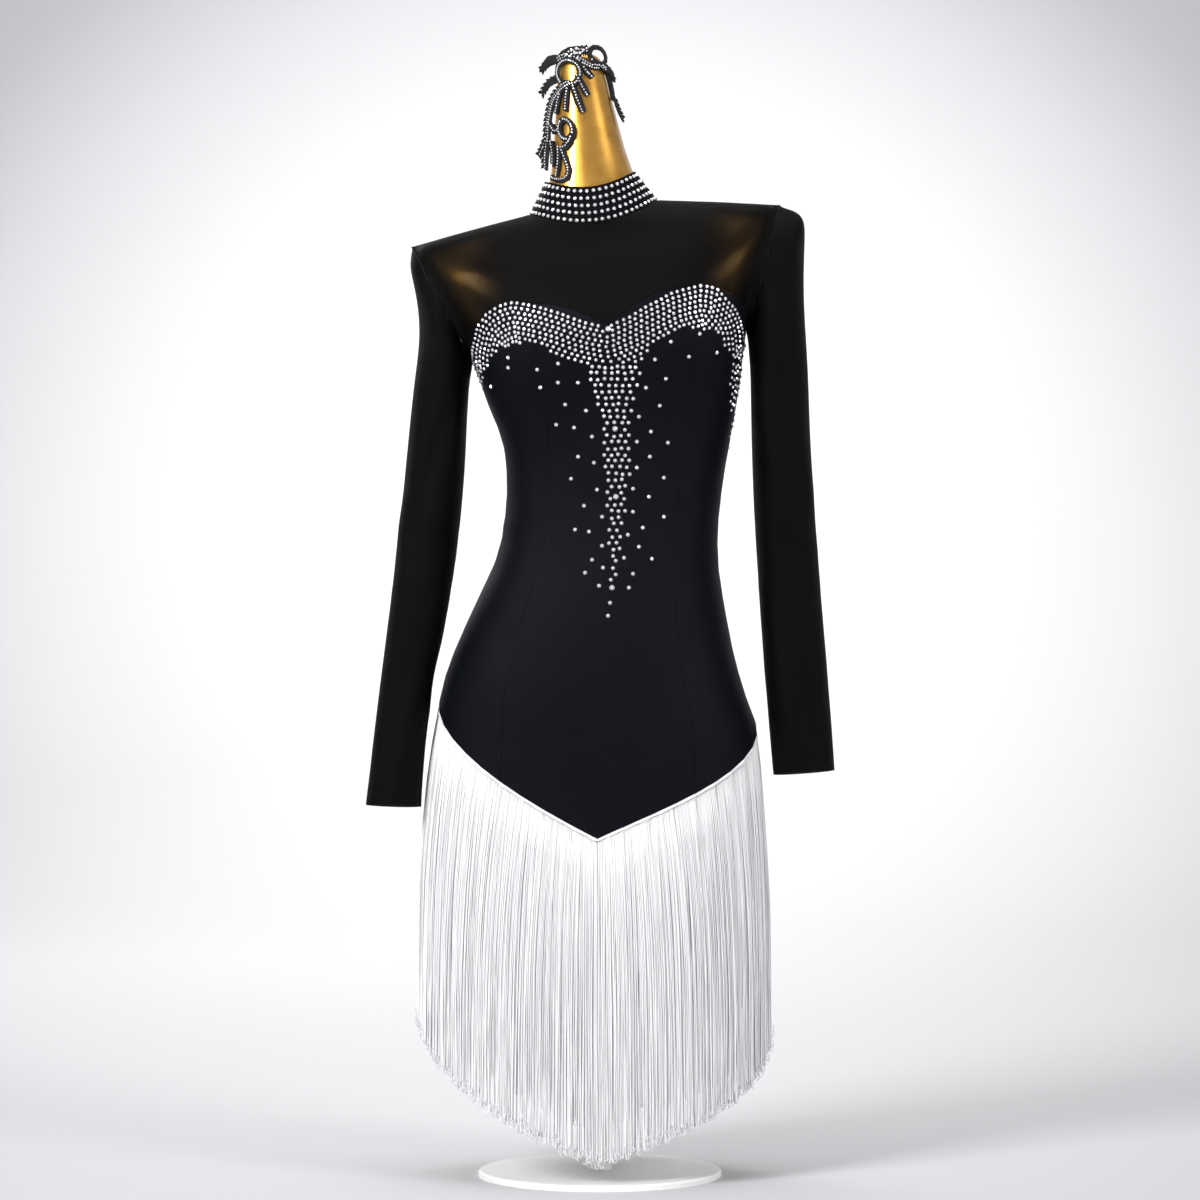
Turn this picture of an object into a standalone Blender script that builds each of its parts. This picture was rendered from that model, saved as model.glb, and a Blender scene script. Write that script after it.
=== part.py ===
# A ballroom dance dress on a limbless dress form, in one pose: hips dropped and shoulders raised to
# one side. The front looks along -Y, +X is the viewer's right, and the foot stands on Z = 0.
# Every panel of the dress is cut from one skin, a function of a place across (s) and a height (h).
import math
from collections import namedtuple
from functools import lru_cache

import bmesh
import bpy
import numpy as np
from mathutils import Matrix, Vector

# ---- driving sizes: millimetres, turned into metres where a mesh is made ----
MM = 0.001
CLOTH = 1.2             # wall of the stretch cloth and of the mesh
SEAM = 0.3              # gap between two sewn pieces
LINE_GAP = 0.3          # half the height left open at a seam that runs level across the body
STEEP_WIDTH = 150.0     # cloth that one unit across covers, to tell how steep a line is
BOX = 0.12              # how much squarer than an ellipse the body's sections are
FRONT, BACK = -1, 1     # the two faces of the skin, by the sign of their Y
HALF_COLUMNS = 10       # columns of a panel from the middle to the side seam
HEM_SIDE, HEM_POINT = 478.0, 351.0      # height of the V hem at the side seams and at its point
SWEET_DIP, SWEET_PEAK, UNDERARM = 870.0, 903.0, 852.0
PEAK_AT = 0.43          # where the sweetheart line peaks, as a share of the half front
SWEET_HOLD = 1.6        # 1 is an even fall from the peak to the side, more holds it high for longer
BACK_DIP = 42.0         # how far the opaque back drops at the middle
PRINCESS_AT = 0.4       # where the princess seams run
ARMHOLE_LOW, SHOULDER, NECK, COLLAR_TOP = 850.0, 980.0, 1015.0, 1062.0
ARMHOLE_FRONT, ARMHOLE_BACK, ARMHOLE_POWER = 50.0, 55.0, 1.7   # 1 is an ellipse, 2 pointed ends
CUP_OUT, CUP_AT, CUP_LEVEL, CUP_WIDE, CUP_HIGH = 13.0, 0.4, 864.0, 0.3, 50.0
ZIP_END, ZIP_TAPER, ZIP_SLOT, ZIP_HALF, ZIP_DEEP, ZIP_CLEAR = 618.0, 34.0, 3.3, 2.6, 1.5, 4.0
BODICE_ROWS, YOKE_ROWS, COLLAR_ROWS, ZIP_ROWS = [15], [6, 4], [2], 34
FRINGE_DROP, FRINGE_STRIP, FRINGE_WALL = 329.0, 8.0, 1.6
LOCKS_PER_COLUMN, LOCK_SHARE = 5, 0.6   # share of a lock's room that its root takes
LOCK_HALF, LOCK_DEEP, TIP_HALF, TIP_DEEP = 1.6, 1.1, 1.0, 0.7
LOCK_SPREAD_AT, LOCK_SWAY, TIP_UNEVEN = 0.22, 0.35, 4.5
FALL_X, FALL_HALF, FALL_FRONT, FALL_BACK = -6.0, 179.0, 114.0, 131.0
FORM_BOTTOM, POLE_RADIUS, FOOT_RADIUS, FOOT_HIGH = 342.0, 12.5, 125.0, 6.0
NECK_TOP = (-20.6, 0.0, 1139.0)         # middle of the form's neck where its rounded top begins
NECK_TOP_RADIUS = 24.7
LACE_WALL, LACE_STATION, LACE_LOOP_SIDES, LACE_STEP = 1.4, 9.0, 12, 0.08

# Sections of the body from hips to collar. h numbers them; x and z are the section's middle, roll
# turns it about that middle, half is its half width, front and back its depths, the rises are how
# far its side, front and back points lie above z, and flat is 1 where its sides end at an armhole.
Section = namedtuple(
    "Section", "h x z roll half front back side_rise front_rise back_rise flat"
)
TORSO = [
    Section(330, -3, 330, -1, 168, 94, 115, 0, 0, 0, 0),
    Section(380, -3, 380, -3, 168, 95, 118, 0, 0, 0, 0),
    Section(430, -2, 430, -4, 167, 96, 122, 0, 0, 0, 0),
    Section(469, -2, 469, -4, 165, 97, 124, 0, 0, 0, 0),
    Section(510, -4.5, 510, -4, 153, 96, 121, 0, 0, 0, 0),
    Section(551, -2, 551, -4, 139, 94, 112, 0, 0, 0, 0),
    Section(592, 2.5, 592, -3, 126, 90, 100, 0, 0, 0, 0),
    Section(633, 8, 633, -2, 114, 85, 88, 0, 0, 0, 0),
    Section(675, 12, 675, -1, 110, 82, 82, 0, 0, 0, 0),
    Section(720, 16, 720, 1, 112, 83, 82, 0, 0, 0, 0),
    Section(760, 18, 760, 3, 118, 87, 85, 0, 0, 0, 0),
    Section(800, 15, 800, 5, 129, 95, 89, 0, 0, 0, 0),
    Section(850, 10, 850, 6.5, 141, 106, 92, 0, 0, 0, 0),
    Section(882, 10, 850, 6.5, 153.3, 103, 96, 32, 30, 34, 0.7),
    Section(915, 10, 850, 6.5, 165.5, 92, 98, 64, 58, 66, 0.9),
    Section(948, 10, 850, 6.5, 178, 79, 94, 96, 86, 99, 0.6),
    Section(980, 10, 850, 6.5, 190, 64, 82, 128, 107, 126, 0),
]
SHOULDERS = [
    Section(980, 10, 850, 6.5, 190, 64, 82, 128, 107, 126, 0),
    Section(998, 10, 850, 6.5, 130, 59, 70, 138, 118, 144, 0),
    Section(1015, 10, 850, 6.5, 67, 56, 58, 147, 126, 161, 0),
]
COLLAR = [
    Section(1015, 10, 850, 6.5, 67, 56, 58, 147, 126, 161, 0),
    Section(1062, 10, 850, 6.5, 47, 44, 46, 179, 165, 190, 0),
]

# Rings of each sleeve from the shoulder down: its outer and inner edge seen from the front, its
# half depth to the front and to the back, and how far its middle lies behind the body's.
Ring = namedtuple("Ring", "out_x out_z in_x in_z front back middle")
Numbered = namedtuple("Numbered", ("place",) + Ring._fields)
SLEEVE_LEFT = [
    Ring(-193.3, 955.7, -130.1, 834.0, 50, 55, 0),
    Ring(-197.0, 939.0, -132.0, 825.0, 50, 54, 0),
    Ring(-190.0, 905.0, -134.5, 813.0, 51, 52, 0),
    Ring(-187.0, 866.0, -136.0, 796.0, 50, 50, 0),
    Ring(-190.5, 822.0, -137.5, 772.0, 48, 48, -1),
    Ring(-197.0, 760.0, -138.5, 735.0, 45, 45, -1),
    Ring(-206.0, 680.0, -143.5, 668.0, 42, 42, -2),
    Ring(-216.0, 593.0, -154.0, 588.0, 38, 39, -4),
    Ring(-226.0, 510.0, -171.0, 508.0, 34, 34, -8),
    Ring(-236.0, 425.0, -180.5, 424.0, 31, 31, -12),
    Ring(-241.5, 382.0, -182.5, 380.0, 30, 30, -14),
]
SLEEVE_RIGHT = [
    Ring(184.3, 998.7, 150.1, 866.0, 50, 55, 0),
    Ring(211.0, 990.0, 152.0, 857.0, 50, 54, 0),
    Ring(211.0, 950.0, 153.5, 843.0, 51, 52, 0),
    Ring(210.5, 905.0, 155.0, 824.0, 50, 50, 0),
    Ring(213.0, 850.0, 155.5, 798.0, 48, 48, -1),
    Ring(216.0, 775.0, 156.0, 750.0, 45, 45, -1),
    Ring(221.0, 690.0, 158.0, 680.0, 42, 42, -2),
    Ring(228.0, 603.0, 162.5, 600.0, 38, 39, -4),
    Ring(235.0, 515.0, 168.5, 515.0, 35, 35, -8),
    Ring(240.5, 440.0, 174.5, 440.0, 33, 33, -11),
    Ring(242.0, 417.5, 177.0, 412.5, 32, 32, -12),
]
SLEEVE_ROWS, SLEEVE_COLUMNS = 18, 14

# How far the form's surface lies inside the skin at each height.
Inset = namedtuple("Inset", "h inset")
FORM_INSETS = [
    Inset(385, 13), Inset(430, 6.5), Inset(475, 3.8), Inset(520, 2.8), Inset(780, 2.8),
    Inset(825, 7), Inset(880, 8.5), Inset(905, 7.5), Inset(940, 6), Inset(980, 8),
    Inset(998, 4.5), Inset(1007, 3.6), Inset(1020, 3.6), Inset(1062, 5.5),
]
FORM_LEVELS = [
    385, 415, 445, 475, 505, 535, 565, 595, 622, 649, 676, 703, 730, 757, 784, 811, 838, 862, 886, 915,
    944, 962, 980, 989, 998, 1007, 1015, 1024, 1062,
]
FORM_ARC, FORM_ARC_POINTS, FORM_SIDE_POINTS = 0.95, 15, 2   # arcs stop short of the sides
SHOULDER_CAP = 6.0                      # how far the form's closed arm ends bulge
FORM_BASE_TURNS, FORM_BASE_SHARE = (90, 55, 25), 0.3    # rings of the rounded base, in degrees
NECK_DOME = [(8.0, 22.4), (13.5, 17.5), (15.5, 9.0)]    # rise and radius of the neck's top rings

# The lace spray, drawn flat: u runs round the neck from its front, w up from the collar's top.
# A frond is a strip through its points, as wide as root and tip say at its ends and fuller by belly
# between them. A loop is an oval ring.
Frond = namedtuple("Frond", "points root belly tip")
Loop = namedtuple("Loop", "u w wide high half")
LACE_FRONDS = [
    Frond([(-11, 97), (-24, 91), (-35, 81), (-41, 67), (-44, 54), (-45, 42)], 2.6, 1.0, 3.0),
    Frond([(-5, 122), (4, 116), (14, 112), (27, 112), (37, 104), (39, 90), (38, 78)], 2.8, 0.4, 2.0),
    Frond([(-24, 119), (-14, 123), (-4, 125), (10, 128)], 3.0, 2.4, 2.4),
    Frond([(-20, 94), (-27, 82), (-32, 68)], 2.0, 0.8, 2.6),
    Frond([(-14, 95), (-17, 83), (-19, 70)], 2.0, 0.8, 2.6),
    Frond([(-9, 97), (-6, 84), (-1, 69)], 2.2, 1.6, 3.0),
    Frond([(-4, 104), (0, 94), (5, 84)], 2.2, 1.2, 2.8),
    Frond([(2, 114), (6, 107), (12, 101)], 2.2, 0.6, 2.4),
    Frond([(-41, 62), (-35, 52), (-26, 54)], 2.4, 0.0, 2.2),
    Frond([(-14, 47), (-19, 39), (-27, 35)], 2.4, 0.4, 2.6),
    Frond([(-45, 46), (-50, 37), (-57, 28)], 3.0, 1.6, 1.0),
    Frond([(-44, 43), (-48, 30), (-49, 16)], 2.6, 1.2, 1.6),
    Frond([(-40, 43), (-38, 30), (-39, 19)], 2.4, 1.0, 1.8),
    Frond([(-27, 36), (-22, 24), (-20, 13), (-26, 6), (-36, 6), (-43, 9)], 2.4, 0.4, 2.2),
    Frond([(-30, 37), (-31, 23), (-35, 9)], 2.2, 0.2, 2.0),
    Frond([(-19, 119), (-35, 118), (-49, 109)], 2.8, 3.0, 0.9),
    Frond([(-23, 101), (-37, 98), (-48, 88)], 2.8, 1.6, 0.9),
    Frond([(24, 111), (38, 110), (45, 98)], 2.8, 2.6, 1.0),
    Frond([(38, 82), (43, 69), (50, 57)], 1.6, 1.6, 0.9),
]
LACE_LOOPS = [
    Loop(-13, 106, 12.6, 11.6, 2.6), Loop(22, 123, 12.0, 8.6, 2.5), Loop(-20, 53, 7.6, 9.4, 3.0),
]
Spot = namedtuple("Spot", "place u w")
NECK_LOW_RADIUS = 41.0  # radius of the neck where it leaves the collar
NECK_SLOPE = 112.0      # length of the neck's side, that turns w into a share of it
LACE_GAP = 0.45
LACE_LEAVES = {-1: 0.7, 1: 1.0}     # angle past which the lace runs on straight, off the neck


# ---- looks ----
def look(name, colour, roughness, metallic=0.0, alpha=1.0):
    made = bpy.data.materials.new(name)
    made.use_nodes = True
    shader = made.node_tree.nodes["Principled BSDF"]
    shader.inputs["Base Color"].default_value = (*colour, 1.0)
    shader.inputs["Roughness"].default_value = roughness
    shader.inputs["Metallic"].default_value = metallic
    shader.inputs["Alpha"].default_value = alpha
    made.diffuse_color = (*colour, 1.0)
    return made


BLACK_CLOTH = ((0.012, 0.013, 0.02), 0.55)
BLACK_MESH = ((0.02, 0.018, 0.014), 0.6)
BLACK_LACE = ((0.015, 0.014, 0.014), 0.7)
WHITE_THREAD = ((0.86, 0.87, 0.9), 0.5)
BLACK_ZIP = ((0.02, 0.02, 0.022), 0.4)
GREY_METAL = ((0.35, 0.35, 0.37), 0.3, 1.0)
BROWN_GLOSS = ((0.42, 0.22, 0.04), 0.2)
WHITE_METAL = ((0.85, 0.85, 0.86), 0.35, 0.1)


def add_to_part(name, mesh, colours, smooth=True):
    """Puts a finished bmesh, in metres, into the part's collection under its own look."""
    bmesh.ops.recalc_face_normals(mesh, faces=mesh.faces)
    data = bpy.data.meshes.new(name)
    mesh.to_mesh(data)
    mesh.free()
    if smooth:
        data.shade_smooth()
        data.set_sharp_from_angle(angle=math.radians(35))
    data.materials.append(look(name, *colours))
    made = bpy.data.objects.new(name, data)
    bpy.data.collections["ballroom_dress"].objects.link(made)
    return made


# ---- the skin ----
def along(table, place):
    """A row of the table between its own rows, by a smooth curve through each column."""
    keys = [row[0] for row in table]
    i = min(max(int(np.searchsorted(keys, place, "right")) - 1, 0), len(table) - 2)
    values = np.array(table, float)
    t = (place - keys[i]) / (keys[i + 1] - keys[i])
    wide = keys[i + 1] - keys[i]

    def slope(k):
        a, b = max(k - 1, 0), min(k + 1, len(table) - 1)
        return (values[b] - values[a]) / (keys[b] - keys[a])

    blend = (
        values[i] * (2 * t**3 - 3 * t**2 + 1)
        + wide * slope(i) * (t**3 - 2 * t**2 + t)
        + values[i + 1] * (3 * t**2 - 2 * t**3)
        + wide * slope(i + 1) * (t**3 - t**2)
    )
    return type(table[0])(*blend)


@lru_cache(maxsize=None)
def section(h):
    if h <= SHOULDER:
        return along(TORSO, h)
    return along(SHOULDERS if h <= NECK else COLLAR, h)


def armhole(h):
    """1 at the armhole's widest, 0 at its ends and outside it."""
    half = (SHOULDER - ARMHOLE_LOW) / 2
    return max(0.0, 1 - ((h - ARMHOLE_LOW - half) / half) ** 2) ** (ARMHOLE_POWER / 2)


def cups(s, h):
    high = math.exp(-(((h - CUP_LEVEL) / CUP_HIGH) ** 2))
    return CUP_OUT * high * sum(
        math.exp(-(((s - side * CUP_AT) / CUP_WIDE) ** 2)) for side in (-1, 1)
    )


def skin(face, s, h):
    """A point on the outside of the cloth: s is -1 and 1 at the side seams, 0 in the middle."""
    row = section(h)
    across = (1 - row.flat) * math.sin(s * math.pi / 2) + row.flat * s
    inner = max(0.0, 1 - across**2)
    side = armhole(h) * (ARMHOLE_FRONT if face == FRONT else ARMHOLE_BACK)
    depth = row.front if face == FRONT else row.back
    bulge = inner ** (0.5 + 0.5 * row.flat) * (1 + BOX * across**2)
    y = face * (side + (depth - side) * bulge)
    if face == FRONT:
        y -= cups(s, h)
    middle_rise = row.front_rise if face == FRONT else row.back_rise
    rise = row.side_rise + (middle_rise - row.side_rise) * inner
    x = row.half * across
    roll = math.radians(row.roll)
    return np.array([
        row.x + x * math.cos(roll) - rise * math.sin(roll),
        y,
        row.z + x * math.sin(roll) + rise * math.cos(roll),
    ])


def outward(face, s, h):
    step, lift = 0.004, 1.5
    over = skin(face, min(1, s + step), h) - skin(face, max(-1, s - step), h)
    up = skin(face, s, min(COLLAR_TOP, h + lift)) - skin(face, s, h - lift)
    normal = np.cross(over, up) * -face
    return normal / np.linalg.norm(normal)


# ---- panels ----
Column = namedtuple("Column", "face s hand trim")   # hand: which half of a split back, or 0


def zip_share(h):
    """Half the slot for the zip, as a share of the half back, closing to a seam below the zip."""
    if h > ZIP_END:
        slot = ZIP_SLOT
    else:
        slot = SEAM / 2 + (ZIP_SLOT - SEAM / 2) * max(0.0, 1 - (ZIP_END - h) / ZIP_TAPER)
    row = section(h)
    return slot / row.half / (row.flat + (1 - row.flat) * math.pi / 2)


def column_place(column, h):
    s = column.s
    if column.hand:
        share = zip_share(h)
        s = s * (1 - share) + column.hand * share
    if column.trim:
        step = 0.004
        near = min(1.0, max(-1.0, s - column.trim * step))
        speed = np.linalg.norm(skin(column.face, s, h) - skin(column.face, near, h)) / step
        s -= column.trim * SEAM / 2 / speed
    return s


def columns_between(face, first, last, hand=0, trims=(True, True)):
    count = round(abs(last - first) * HALF_COLUMNS)
    places = np.linspace(first, last, count + 1)
    made = [Column(face, float(s), hand, 0) for s in places]
    if trims[0]:
        made[0] = made[0]._replace(trim=-1)
    if trims[1]:
        made[-1] = made[-1]._replace(trim=1)
    return made


def line_gap(line, s):
    """Half the height left open along a line, more where the line is steep."""
    step = 0.01
    rise = (line(min(1, s + step)) - line(max(-1, s - step))) / (2 * step * STEEP_WIDTH)
    return LINE_GAP * math.hypot(1, rise)


def cloth_grids(columns, lines, rows):
    """Outer and inner points of cloth that runs from line to line up the skin."""
    outer, inner = [], []
    for k, count in enumerate(rows):
        for i in range(count + (k == len(rows) - 1)):
            outer_row, inner_row = [], []
            for column in columns:
                low, high = lines[k](column.s), lines[k + 1](column.s)
                low += line_gap(lines[0], column.s) if k == 0 else 0
                high -= line_gap(lines[-1], column.s) if k == len(rows) - 1 else 0
                h = low + (high - low) * i / count
                s = column_place(column, h)
                point = skin(column.face, s, h)
                outer_row.append(point)
                inner_row.append(point - CLOTH * outward(column.face, s, h))
            outer.append(outer_row)
            inner.append(inner_row)
    return outer, inner


def shell(outer, inner, closed_round=False, scale=MM):
    """The closed wall between two grids of points that have the same rows and columns."""
    mesh = bmesh.new()
    outs = [[mesh.verts.new(Vector(p) * scale) for p in row] for row in outer]
    ins = [[mesh.verts.new(Vector(p) * scale) for p in row] for row in inner]
    columns = len(outer[0])
    for j in range(columns if closed_round else columns - 1):
        k = (j + 1) % columns
        for i in range(len(outer) - 1):
            # both faces split along the same diagonal, so the wall is as thick where it curves
            mesh.faces.new((outs[i][j], outs[i][k], outs[i + 1][k], outs[i + 1][j]))
            mesh.faces.new((ins[i][j], ins[i + 1][j], ins[i + 1][k], ins[i][k]))
        mesh.faces.new((ins[0][j], ins[0][k], outs[0][k], outs[0][j]))
        mesh.faces.new((outs[-1][j], outs[-1][k], ins[-1][k], ins[-1][j]))
    if not closed_round:
        for i in range(len(outer) - 1):
            mesh.faces.new((outs[i][0], outs[i + 1][0], ins[i + 1][0], ins[i][0]))
            mesh.faces.new((outs[i + 1][-1], outs[i][-1], ins[i][-1], ins[i + 1][-1]))
    return mesh


def hem(s):
    return HEM_POINT + (HEM_SIDE - HEM_POINT) * abs(s)


def sweetheart(s):
    if abs(s) < PEAK_AT:
        return SWEET_DIP + (SWEET_PEAK - SWEET_DIP) * math.sin(math.pi / 2 * abs(s) / PEAK_AT)
    fall = ((abs(s) - PEAK_AT) / (1 - PEAK_AT)) ** SWEET_HOLD
    return SWEET_PEAK - (SWEET_PEAK - UNDERARM) * (1 - math.cos(math.pi / 2 * fall))


def back_line(s):
    return UNDERARM - BACK_DIP * (1 - s**2)


def shoulder_line(s):
    return SHOULDER


def neck_line(s):
    return NECK


def collar_line(s):
    return COLLAR_TOP


def add_bodice():
    fronts = [
        ("bodice_front_left", -1, -PRINCESS_AT),
        ("bodice_front_middle", -PRINCESS_AT, PRINCESS_AT),
        ("bodice_front_right", PRINCESS_AT, 1),
    ]
    for name, first, last in fronts:
        grids = cloth_grids(columns_between(FRONT, first, last), [hem, sweetheart], BODICE_ROWS)
        add_to_part(name, shell(*grids), BLACK_CLOTH)
    for name, first, last, hand in [("bodice_back_left", -1, 0, -1), ("bodice_back_right", 0, 1, 1)]:
        columns = columns_between(BACK, first, last, hand, (first == -1, last == 1))
        grids = cloth_grids(columns, [hem, back_line], BODICE_ROWS)
        add_to_part(name, shell(*grids), BLACK_CLOTH)


def add_yoke():
    lines = [sweetheart, shoulder_line, neck_line]
    grids = cloth_grids(columns_between(FRONT, -1, 1), lines, YOKE_ROWS)
    add_to_part("yoke_front", shell(*grids), BLACK_MESH)
    lines = [back_line, shoulder_line, neck_line]
    for name, first, last, hand in [("yoke_back_left", -1, 0, -1), ("yoke_back_right", 0, 1, 1)]:
        columns = columns_between(BACK, first, last, hand, (first == -1, last == 1))
        add_to_part(name, shell(*cloth_grids(columns, lines, YOKE_ROWS)), BLACK_MESH)


def add_collar():
    left = columns_between(BACK, 0, -1, -1, (False, False))[:-1]
    front = columns_between(FRONT, -1, 1, 0, (False, False))
    right = columns_between(BACK, 1, 0, 1, (False, False))[1:]
    grids = cloth_grids(left + front + right, [neck_line, collar_line], COLLAR_ROWS)
    add_to_part("collar", shell(*grids), BLACK_CLOTH)


# ---- sleeves ----
def sleeve_point(rings, place, turn):
    numbered = [Numbered(i, *ring) for i, ring in enumerate(rings)]
    ring = along(numbered, place)
    out, inn = np.array([ring.out_x, ring.out_z]), np.array([ring.in_x, ring.in_z])
    x, z = (out + inn) / 2 + (out - inn) / 2 * math.cos(turn)
    power = 1 + (ARMHOLE_POWER - 1) * max(0.0, 1 - place)
    deep = (ring.front if math.sin(turn) < 0 else ring.back) * abs(math.sin(turn)) ** power
    return np.array([x, ring.middle + math.copysign(deep, math.sin(turn)), z])


def add_sleeve(name, rings, hand):
    """A sleeve starts just outside the armhole's plane and ends in an open cuff."""
    tilt = np.array([rings[0].out_x - rings[0].in_x, 0, rings[0].out_z - rings[0].in_z])
    away = np.cross(tilt, [0, -1, 0])
    away *= hand * 1.5 * SEAM / np.linalg.norm(away) * (1 if away[0] > 0 else -1)
    outer, inner = [], []
    for i in range(SLEEVE_ROWS + 1):
        place = (len(rings) - 1) * i / SLEEVE_ROWS
        shift = away * max(0.0, 1 - place)
        outer_row, inner_row = [], []
        for j in range(SLEEVE_COLUMNS):
            turn = 2 * math.pi * j / SLEEVE_COLUMNS
            point = sleeve_point(rings, place, turn)
            low, high = max(place - 0.05, 0), min(place + 0.05, len(rings) - 1)
            down = sleeve_point(rings, high, turn) - sleeve_point(rings, low, turn)
            over = sleeve_point(rings, place, turn + 0.02) - sleeve_point(rings, place, turn - 0.02)
            normal = np.cross(over, down)
            normal /= np.linalg.norm(normal)
            centre = (sleeve_point(rings, place, 0) + sleeve_point(rings, place, math.pi)) / 2
            if np.dot(normal, point - centre) < 0:
                normal = -normal
            if i == 0:
                normal -= away * np.dot(normal, away) / np.dot(away, away)
                normal /= np.linalg.norm(normal)
            outer_row.append(point + shift)
            inner_row.append(point + shift - CLOTH * normal)
        outer.append(outer_row)
        inner.append(inner_row)
    add_to_part(name, shell(outer, inner, closed_round=True), BLACK_MESH)


# ---- fringe ----
def fall_point(face, s, start, share):
    """Where a lock is at a share of its drop: it swings out to the fall's own oval, then hangs."""
    angle = s * math.pi / 2
    deep = FALL_FRONT if face == FRONT else FALL_BACK
    end = np.array([FALL_X + FALL_HALF * math.sin(angle), face * deep * math.cos(angle)])
    ease = 1 - (1 - share) ** 3
    x, y = start[:2] + (end - start[:2]) * ease
    return np.array([x, y, start[2] - share * FRINGE_DROP])


def lock_ring(face, s, start, share, number):
    """Four corners of a lock, a little wider in its middle and narrow at its uneven tip."""
    point = fall_point(face, s, start, share)
    ahead = fall_point(face, s + 0.01, start, share)
    over = (ahead - point) * [1, 1, 0]
    over /= np.linalg.norm(over)
    out = np.array([over[1], -over[0], 0]) * -face
    half, deep = (LOCK_HALF, LOCK_DEEP) if share < 1 else (TIP_HALF, TIP_DEEP)
    sway = LOCK_SWAY * math.sin(2.4 * number) * share
    uneven = math.sin(1.7 * number) * math.sin(0.61 * number + 1) if share == 1 else 0
    middle = point + over * sway + np.array([0, 0, TIP_UNEVEN * uneven])
    corners = [(-half, deep), (half, deep), (half, -deep), (-half, -deep)]
    return [middle + a * over + b * out for a, b in corners]


def add_fringe(name, face):
    """One strip under the hem with locks that hang from its lower edge, in one closed body."""
    mesh = bmesh.new()

    def vertex(point):
        return mesh.verts.new(Vector(point) * MM)

    columns = columns_between(face, -1, 1)
    edges = []
    for column in columns:
        top = hem(column.s) - LINE_GAP
        pair = []
        for h in (top, top - FRINGE_STRIP):
            s = column_place(column, h)
            point = skin(face, s, h)
            pair.append((point, point - FRINGE_WALL * outward(face, s, h)))
        edges.append(pair)
    tops = [(vertex(pair[0][0]), vertex(pair[0][1])) for pair in edges]
    lows = [(vertex(pair[1][0]), vertex(pair[1][1])) for pair in edges]
    for k in range(len(columns) - 1):
        roots = []
        for i in range(LOCKS_PER_COLUMN):
            ends = [(i + 0.5 + side * LOCK_SHARE / 2) / LOCKS_PER_COLUMN for side in (-1, 1)]
            root = []
            for share in ends:
                pair = [edges[k][1][n] + (edges[k + 1][1][n] - edges[k][1][n]) * share for n in (0, 1)]
                root.append((vertex(pair[0]), vertex(pair[1]), pair))
            roots.append(root)
            number = k * LOCKS_PER_COLUMN + i
            s = columns[k].s + (columns[k + 1].s - columns[k].s) * (i + 0.5) / LOCKS_PER_COLUMN
            start = sum(root[a][2][b] for a in (0, 1) for b in (0, 1)) / 4
            last = [root[0][0], root[1][0], root[1][1], root[0][1]]
            for share in (LOCK_SPREAD_AT, 1.0):
                ring = [vertex(p) for p in lock_ring(face, s, start, share, number)]
                for a in range(4):
                    b = (a + 1) % 4
                    mesh.faces.new((last[a], last[b], ring[b], ring[a]))
                last = ring
            mesh.faces.new(last)
        below = [lows[k]] + [end[:2] for root in roots for end in root] + [lows[k + 1]]
        for n in (0, 1):
            mesh.faces.new([tops[k][n], tops[k + 1][n]] + [pair[n] for pair in reversed(below)])
        mesh.faces.new((tops[k][0], tops[k + 1][0], tops[k + 1][1], tops[k][1]))
        for a in range(0, len(below), 2):
            mesh.faces.new((below[a][0], below[a + 1][0], below[a + 1][1], below[a][1]))
    for k in (0, -1):
        mesh.faces.new((tops[k][0], lows[k][0], lows[k][1], tops[k][1]))
    add_to_part(name, mesh, WHITE_THREAD, smooth=False)


# ---- zip ----
def add_zip_chain():
    outer, inner = [], []
    for h in np.linspace(ZIP_END + ZIP_CLEAR, COLLAR_TOP - 1, ZIP_ROWS):
        centre, normal = skin(BACK, 0, h), outward(BACK, 0, h)
        over = skin(BACK, 0.01, h) - skin(BACK, -0.01, h)
        over *= ZIP_HALF / np.linalg.norm(over)
        outer.append([centre - over, centre + over])
        inner.append([centre - over - ZIP_DEEP * normal, centre + over - ZIP_DEEP * normal])
    add_to_part("zip_chain", shell(outer, inner), BLACK_ZIP)


SLIDER_AT = COLLAR_TOP - 8.0
SLIDER_HALF, SLIDER_LOW, SLIDER_TOP, SLIDER_LONG = 3.0, 0.45, 2.4, 9.0
EAR_AT, EAR_WALL, EAR_LOW, EAR_TOP, EAR_LONG = 2.4, 1.0, 1.6, 5.0, 2.2
SLIDER_EDGE, PIN_RADIUS, PIN_UP = 0.5, 0.55, 4.1
TAB_HALF, TAB_RING, TAB_HOLE, TAB_LONG, TAB_WALL, TAB_EDGE = 1.5, 1.35, 0.85, 21.0, 0.9, 0.25
TAB_TILT = -8.0         # degrees that the tab leans towards the cloth
OVERLAP = 0.2           # how far pieces reach into each other where a union joins them


def slider_frame():
    """Local x is world X, y points out of the cloth and z runs up the zip."""
    up = skin(BACK, 0, SLIDER_AT + 6) - skin(BACK, 0, SLIDER_AT - 6)
    up[0] = 0
    up /= np.linalg.norm(up)
    out = np.array([0, up[2], -up[1]])
    frame = Matrix((Vector((1, 0, 0)), Vector(out), Vector(up))).transposed().to_4x4()
    frame.translation = Vector(skin(BACK, 0, SLIDER_AT))
    return Matrix.Scale(MM, 4) @ frame


def block(low, high):
    """A box between two corners, as a loose mesh."""
    mesh = bmesh.new()
    size = [b - a for a, b in zip(low, high)]
    middle = [(a + b) / 2 for a, b in zip(low, high)]
    bmesh.ops.create_cube(mesh, size=1)
    bmesh.ops.transform(
        mesh, verts=mesh.verts, matrix=Matrix.Translation(middle) @ Matrix.Diagonal((*size, 1))
    )
    return mesh


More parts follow.
